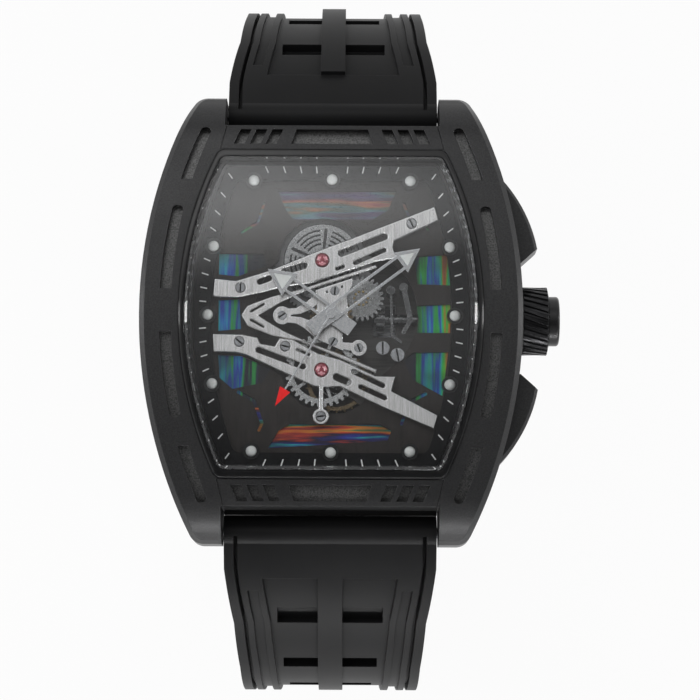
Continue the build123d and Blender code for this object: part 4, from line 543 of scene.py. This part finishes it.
def slot_shade_pattern(material, length, width, height):
    """Dark rounded bar that lies in a screw's slot as painted shade."""
    pattern = Pattern("slot_shade_bars", Length=length * MILLIMETRE, Width=width * MILLIMETRE,
                      Height=height * MILLIMETRE)
    half, back, radius = [
        pattern.add("ShaderNodeMath", {0: pattern.given[size], 1: share}, operation="MULTIPLY")
        for size, share in (("Length", 0.5), ("Length", -0.5), ("Width", 0.5))]
    start = pattern.add("ShaderNodeCombineXYZ", {"X": back.outputs["Value"]})
    end = pattern.add("ShaderNodeCombineXYZ", {"X": half.outputs["Value"]})
    line = pattern.add("GeometryNodeCurvePrimitiveLine", {"Start": start.outputs["Vector"],
                                                          "End": end.outputs["Vector"]})
    section = pattern.add("GeometryNodeCurvePrimitiveCircle",
                          {"Resolution": 10, "Radius": radius.outputs["Value"]})
    bar = pattern.add("GeometryNodeCurveToMesh", {"Curve": line.outputs["Curve"],
                                                  "Profile Curve": section.outputs["Curve"],
                                                  "Fill Caps": True})
    turn = pattern.add("GeometryNodeInputNamedAttribute", {"Name": "turn"}, data_type="FLOAT")
    rotation = pattern.add("ShaderNodeCombineXYZ", {"Z": turn.outputs["Attribute"]})
    lift = pattern.add("ShaderNodeCombineXYZ", {"Z": pattern.given["Height"]})
    lifted = pattern.add("GeometryNodeSetPosition", {"Geometry": pattern.given["Marks"],
                                                     "Offset": lift.outputs["Vector"]})
    bars = pattern.add("GeometryNodeInstanceOnPoints", {"Points": lifted.outputs["Geometry"],
                                                        "Instance": bar.outputs["Mesh"],
                                                        "Rotation": rotation.outputs["Vector"]})
    return pattern.finish(bars.outputs["Instances"], material)


def gem_pattern(material, radius, height):
    """Cut stone: a crown of eight facets under a smaller, turned one with a flat table."""
    pattern = Pattern("cut_gems", Radius=radius * MILLIMETRE, Height=height * MILLIMETRE, Facets=8)
    gem = pattern.add("GeometryNodeJoinGeometry")
    shares = ((1.0, 0.66, 0.0, 0.6, 0.0), (0.72, 0.4, 0.5, 0.5, 22.5))
    for bottom_share, top_share, level_share, depth_share, turn in shares:
        bottom, top, level, depth = [
            pattern.add("ShaderNodeMath", {0: pattern.given[size], 1: share}, operation="MULTIPLY")
            for size, share in (("Radius", bottom_share), ("Radius", top_share),
                                ("Height", level_share), ("Height", depth_share))]
        cone = pattern.add("GeometryNodeMeshCone", {"Vertices": pattern.given["Facets"],
                                                    "Radius Bottom": bottom.outputs["Value"],
                                                    "Radius Top": top.outputs["Value"],
                                                    "Depth": depth.outputs["Value"]})
        lift = pattern.add("ShaderNodeCombineXYZ", {"Z": level.outputs["Value"]})
        moved = pattern.add("GeometryNodeTransform", {"Geometry": cone.outputs["Mesh"],
                                                      "Translation": lift.outputs["Vector"],
                                                      "Rotation": (0, 0, radians(turn))})
        pattern.tree.links.new(moved.outputs["Geometry"], gem.inputs["Geometry"])
    facets = pattern.add("GeometryNodeSetShadeSmooth", {"Geometry": gem.outputs["Geometry"],
                                                        "Shade Smooth": False})
    gems = pattern.add("GeometryNodeInstanceOnPoints", {"Points": pattern.given["Marks"],
                                                        "Instance": facets.outputs["Geometry"]})
    return pattern.finish(gems.outputs["Instances"], material)


def ball_pattern(material, name, count, ring, radius):
    """Ring of small bearing balls round each mark."""
    pattern = Pattern(name, Count=count, Ring=ring * MILLIMETRE, Ball=radius * MILLIMETRE)
    circle = pattern.add("GeometryNodeMeshCircle", {"Vertices": pattern.given["Count"],
                                                    "Radius": pattern.given["Ring"]})
    ball = pattern.add("GeometryNodeMeshIcoSphere", {"Radius": pattern.given["Ball"],
                                                     "Subdivisions": 3})
    smooth = pattern.add("GeometryNodeSetShadeSmooth", {"Geometry": ball.outputs["Mesh"]})
    balls = pattern.add("GeometryNodeInstanceOnPoints", {"Points": circle.outputs["Mesh"],
                                                         "Instance": smooth.outputs["Geometry"]})
    rings = pattern.add("GeometryNodeInstanceOnPoints", {"Points": pattern.given["Marks"],
                                                         "Instance": balls.outputs["Instances"]})
    return pattern.finish(rings.outputs["Instances"], material)


def lug_liners():
    """Black lips that follow the strap ends' round rolls, in the corners under the lug gaps."""
    bar_y, bar_z, roll, half_width = 24.7, 2.78, 2.1, 12.4
    wall, wall_top, wall_foot = 22.2, 3.4, 1.0
    steps, start_degrees, sweep_degrees = 8, 165, 53
    profile = [(wall, wall_foot), (wall, wall_top)]
    for step in range(steps + 1):
        angle = radians(start_degrees + step * sweep_degrees / steps)
        profile.append((bar_y + roll * cos(angle), bar_z + roll * sin(angle)))
    count = len(profile)
    corners, faces = [], []
    for side in (1, -1):
        first = len(corners)
        for x in (-half_width, half_width):
            corners += [(x * MILLIMETRE, side * y * MILLIMETRE, z * MILLIMETRE) for y, z in profile]
        second = first + count
        for index in range(count):
            after = (index + 1) % count
            faces.append((first + index, first + after, second + after, second + index))
        faces.append(tuple(range(first, second)))
        faces.append(tuple(range(second + count - 1, second - 1, -1)))
    mesh = bpy.data.meshes.new("lug_liners")
    mesh.from_pydata(corners, [], faces)
    solid = bmesh.new()
    solid.from_mesh(mesh)
    bmesh.ops.recalc_face_normals(solid, faces=solid.faces)
    solid.to_mesh(mesh)
    solid.free()
    liners = put("lug_liners", mesh)
    mesh.materials.append(grained_metal("liner_black", (0.01, 0.01, 0.01), (0.018, 0.018, 0.018),
                                        specular=0.2, depth=0.004))
    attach(liners, "case")


def marks_at(places, level):
    """Marks in millimetres where the picture's points lie, seen at the bridges' level."""
    return [((column - HANDS_COLUMN) * PIXEL,
             (HANDS_ROW_AT_BRIDGES - row) * PIXEL / cos(radians(VIEW_TILT)), level)
            for column, row in places]


def add_trim():
    """Liners, painted shade in the screw slots, cut stones and bearing balls."""
    lug_liners()
    # The dark bars laid in the screw slots are painted shade.
    shadow = grained_metal("slot_shadow", (0.004, 0.004, 0.004), (0.01, 0.01, 0.01), specular=0.1)
    slot_width, slot_depth = 0.17, 0.16
    screws = marks_at(BRIDGE_SCREWS, BRIDGE_SCREW_TOP) + marks_at(PLATE_SCREWS, PLATE_SCREW_TOP)
    grow("bridge_slot_shade", slot_shade_pattern(shadow, 0.84, slot_width, -slot_depth), screws,
         "case", [90 + 25 * index for index in range(len(screws))])
    grow("dial_slot_shade", slot_shade_pattern(shadow, 1.4, slot_width, -slot_depth),
         marks_at(DIAL_SCREWS, DIAL_SCREW_TOP), "case", [90, 100])
    grow("cut_jewels", gem_pattern(cut_ruby(), 0.64, 0.26), marks_at(JEWELS, GEM_LEVEL),
         "case")
    brass = brushed_metal("ball_brass", (0.3, 0.22, 0.1), (0.42, 0.32, 0.16), (2, 2, 2))
    grow("crown_wheel_balls", ball_pattern(brass, "wheel_balls", 10, 0.8, 0.16),
         [CROWN_WHEEL_TOP], "crown_gear")


# Floor, light and camera

def combine(tree, operation, first, second):
    """One step of arithmetic on two sockets."""
    node = tree.nodes.new("ShaderNodeMath")
    node.operation = operation
    tree.links.new(first, node.inputs[0])
    tree.links.new(second, node.inputs[1])
    return node.outputs["Value"]


def smooth_step(tree, value, start, end):
    """Node whose result goes smoothly from nought to one as the value goes from start to end."""
    step = tree.nodes.new("ShaderNodeMapRange")
    step.interpolation_type = "SMOOTHSTEP"
    step.inputs["From Min"].default_value = start
    step.inputs["From Max"].default_value = end
    tree.links.new(value, step.inputs["Value"])
    return step


def shows_background(tree):
    """One for rays from the camera, off metal or through glass, which see the surroundings."""
    path = tree.nodes.new("ShaderNodeLightPath").outputs
    mirrored = combine(tree, "MAXIMUM", path["Is Glossy Ray"], path["Is Transmission Ray"])
    return combine(tree, "MAXIMUM", path["Is Camera Ray"], mirrored)


def make_floor():
    """Pale floor just under the strap; its white is mostly its own, and the rest takes shadow."""
    mesh = bpy.data.meshes.new("floor")
    reach, gap = 6.0, 0.0001
    level = FLOOR_LEVEL - gap
    mesh.from_pydata([(-reach, -reach, level), (reach, -reach, level), (reach, reach, level),
                      (-reach, reach, level)], [], [(0, 1, 2, 3)])
    finish = Finish("pale_floor")
    shader = finish.surface((0.8, 0.8, 0.8), roughness=0.9)
    glow = finish.add("Emission")
    glow.inputs["Color"].default_value = (1, 1, 1, 1)
    amount = finish.maths("MULTIPLY", shows_background(finish.tree), FLOOR_GLOW)
    finish.blend(amount, shader.outputs["BSDF"], glow.outputs["Emission"])
    mesh.materials.append(finish.material)
    put("floor", mesh)


def make_world():
    """White for the camera, white below a grey ceiling for metal and glass, else plain light."""
    world = bpy.data.worlds.new("studio")
    bpy.context.scene.world = world
    world.use_nodes = True
    tree = world.node_tree
    background = tree.nodes["Background"]
    background.inputs["Color"].default_value = (1, 1, 1, 1)
    split = tree.nodes.new("ShaderNodeSeparateXYZ")
    direction = tree.nodes.new("ShaderNodeTexCoord").outputs["Generated"]
    tree.links.new(direction, split.inputs["Vector"])
    overhead = smooth_step(tree, split.outputs["Y"], -0.25, 0.15)
    overhead.inputs["To Min"].default_value = FRONT_CEILING
    overhead.inputs["To Max"].default_value = BACK_CEILING
    ceiling = smooth_step(tree, split.outputs["Z"], 0.3, 0.65)
    ceiling.inputs["To Min"].default_value = SURROUNDINGS
    tree.links.new(overhead.outputs["Result"], ceiling.inputs["To Max"])
    path = tree.nodes.new("ShaderNodeLightPath")
    seen_white = tree.nodes.new("ShaderNodeMix")
    tree.links.new(path.outputs["Is Camera Ray"], seen_white.inputs["Factor"])
    tree.links.new(ceiling.outputs["Result"], seen_white.inputs["A"])
    seen_white.inputs["B"].default_value = SURROUNDINGS
    strength = tree.nodes.new("ShaderNodeMix")
    tree.links.new(shows_background(tree), strength.inputs["Factor"])
    strength.inputs["A"].default_value = PLAIN_LIGHT
    tree.links.new(seen_white.outputs["Result"], strength.inputs["B"])
    tree.links.new(strength.outputs["Result"], background.inputs["Strength"])


def area_light(name, place, size, radiance, target=(0, 0, 0.005)):
    """Rectangular light of an even brightness, aimed at the dial."""
    lamp = bpy.data.lights.new(name, "AREA")
    lamp.shape = "RECTANGLE"
    lamp.size, lamp.size_y = size
    lamp.energy = radiance * pi * size[0] * size[1]
    light = put(name, lamp)
    light.visible_camera = False
    aim = Vector(target) - Vector(place)
    turn = aim.to_track_quat("-Z", "Y").to_matrix().to_4x4()
    light.matrix_world = Matrix.Translation(place) @ turn
    return light


def fade_edges(light, width):
    """Lets a soft light fall off gently over a share of its width along each edge."""
    light.data.use_nodes = True
    tree = light.data.node_tree
    split = tree.nodes.new("ShaderNodeSeparateXYZ")
    geometry = tree.nodes.new("ShaderNodeNewGeometry")
    tree.links.new(geometry.outputs["Parametric"], split.inputs["Vector"])
    falls = [smooth_step(tree, split.outputs[axis], edge, inner).outputs["Result"]
             for axis in ("X", "Y") for edge, inner in ((0.0, width), (1.0, 1.0 - width))]
    strength = falls[0]
    for fall in falls[1:]:
        strength = combine(tree, "MULTIPLY", strength, fall)
    tree.links.new(strength, tree.nodes["Emission"].inputs["Strength"])


def make_lights():
    """Soft light from the upper left, panels at the sides, and low strips that draw the bevels."""
    reach, lean = 0.62, radians(29)
    place = (-0.15, reach * sin(lean), reach * cos(lean))
    fade_edges(area_light("soft_top", place, (0.5, 0.4545), 2.2), 0.33)
    area_light("left_panel", (-0.46, 0.0, 0.36), (0.7, 0.35), 1.0)
    area_light("right_panel", (0.46, 0.04, 0.36), (0.5, 0.25), 0.5)
    area_light("front_fill", (0.0, -0.42, 0.42), (0.5, 0.25), 0.4)
    area_light("front_strip", (0.0, -0.6, 0.096), (0.9, 0.05), 18.0, (0, 0, 0.012))
    for name, side in (("left_strip", -0.6), ("right_strip", 0.6)):
        area_light(name, (side, 0.084, 0.014), (0.05, 0.9), 12.0, (0, 0.084, 0.014))


def make_camera():
    """Camera that sees the hands' centre where the picture does, at the picture's scale."""
    tilt = radians(VIEW_TILT)
    pixel = PIXEL * MILLIMETRE
    off_column = IMAGE_SIZE / 2 - HANDS_COLUMN
    off_row = HANDS_ROW - IMAGE_SIZE / 2
    aim = Vector((off_column * pixel, off_row * pixel / cos(tilt), AIM_LEVEL * MILLIMETRE))
    turn = Matrix.Rotation(tilt, 4, "X") @ Matrix.Rotation(radians(VIEW_ROLL), 4, "Z")
    lens = bpy.data.cameras.new("view")
    lens.sensor_width = 36.0
    lens.lens = lens.sensor_width * VIEW_DISTANCE / (IMAGE_SIZE * pixel)
    lens.clip_start = 0.01
    camera = put("view", lens)
    back_off = Matrix.Translation((0, 0, VIEW_DISTANCE))
    camera.matrix_world = Matrix.Translation(aim) @ turn @ back_off
    bpy.context.scene.camera = camera


dress_case()
dress_movement()
add_trim()
make_floor()
make_world()
make_lights()
make_camera()
bpy.context.scene.view_settings.view_transform = "Standard"
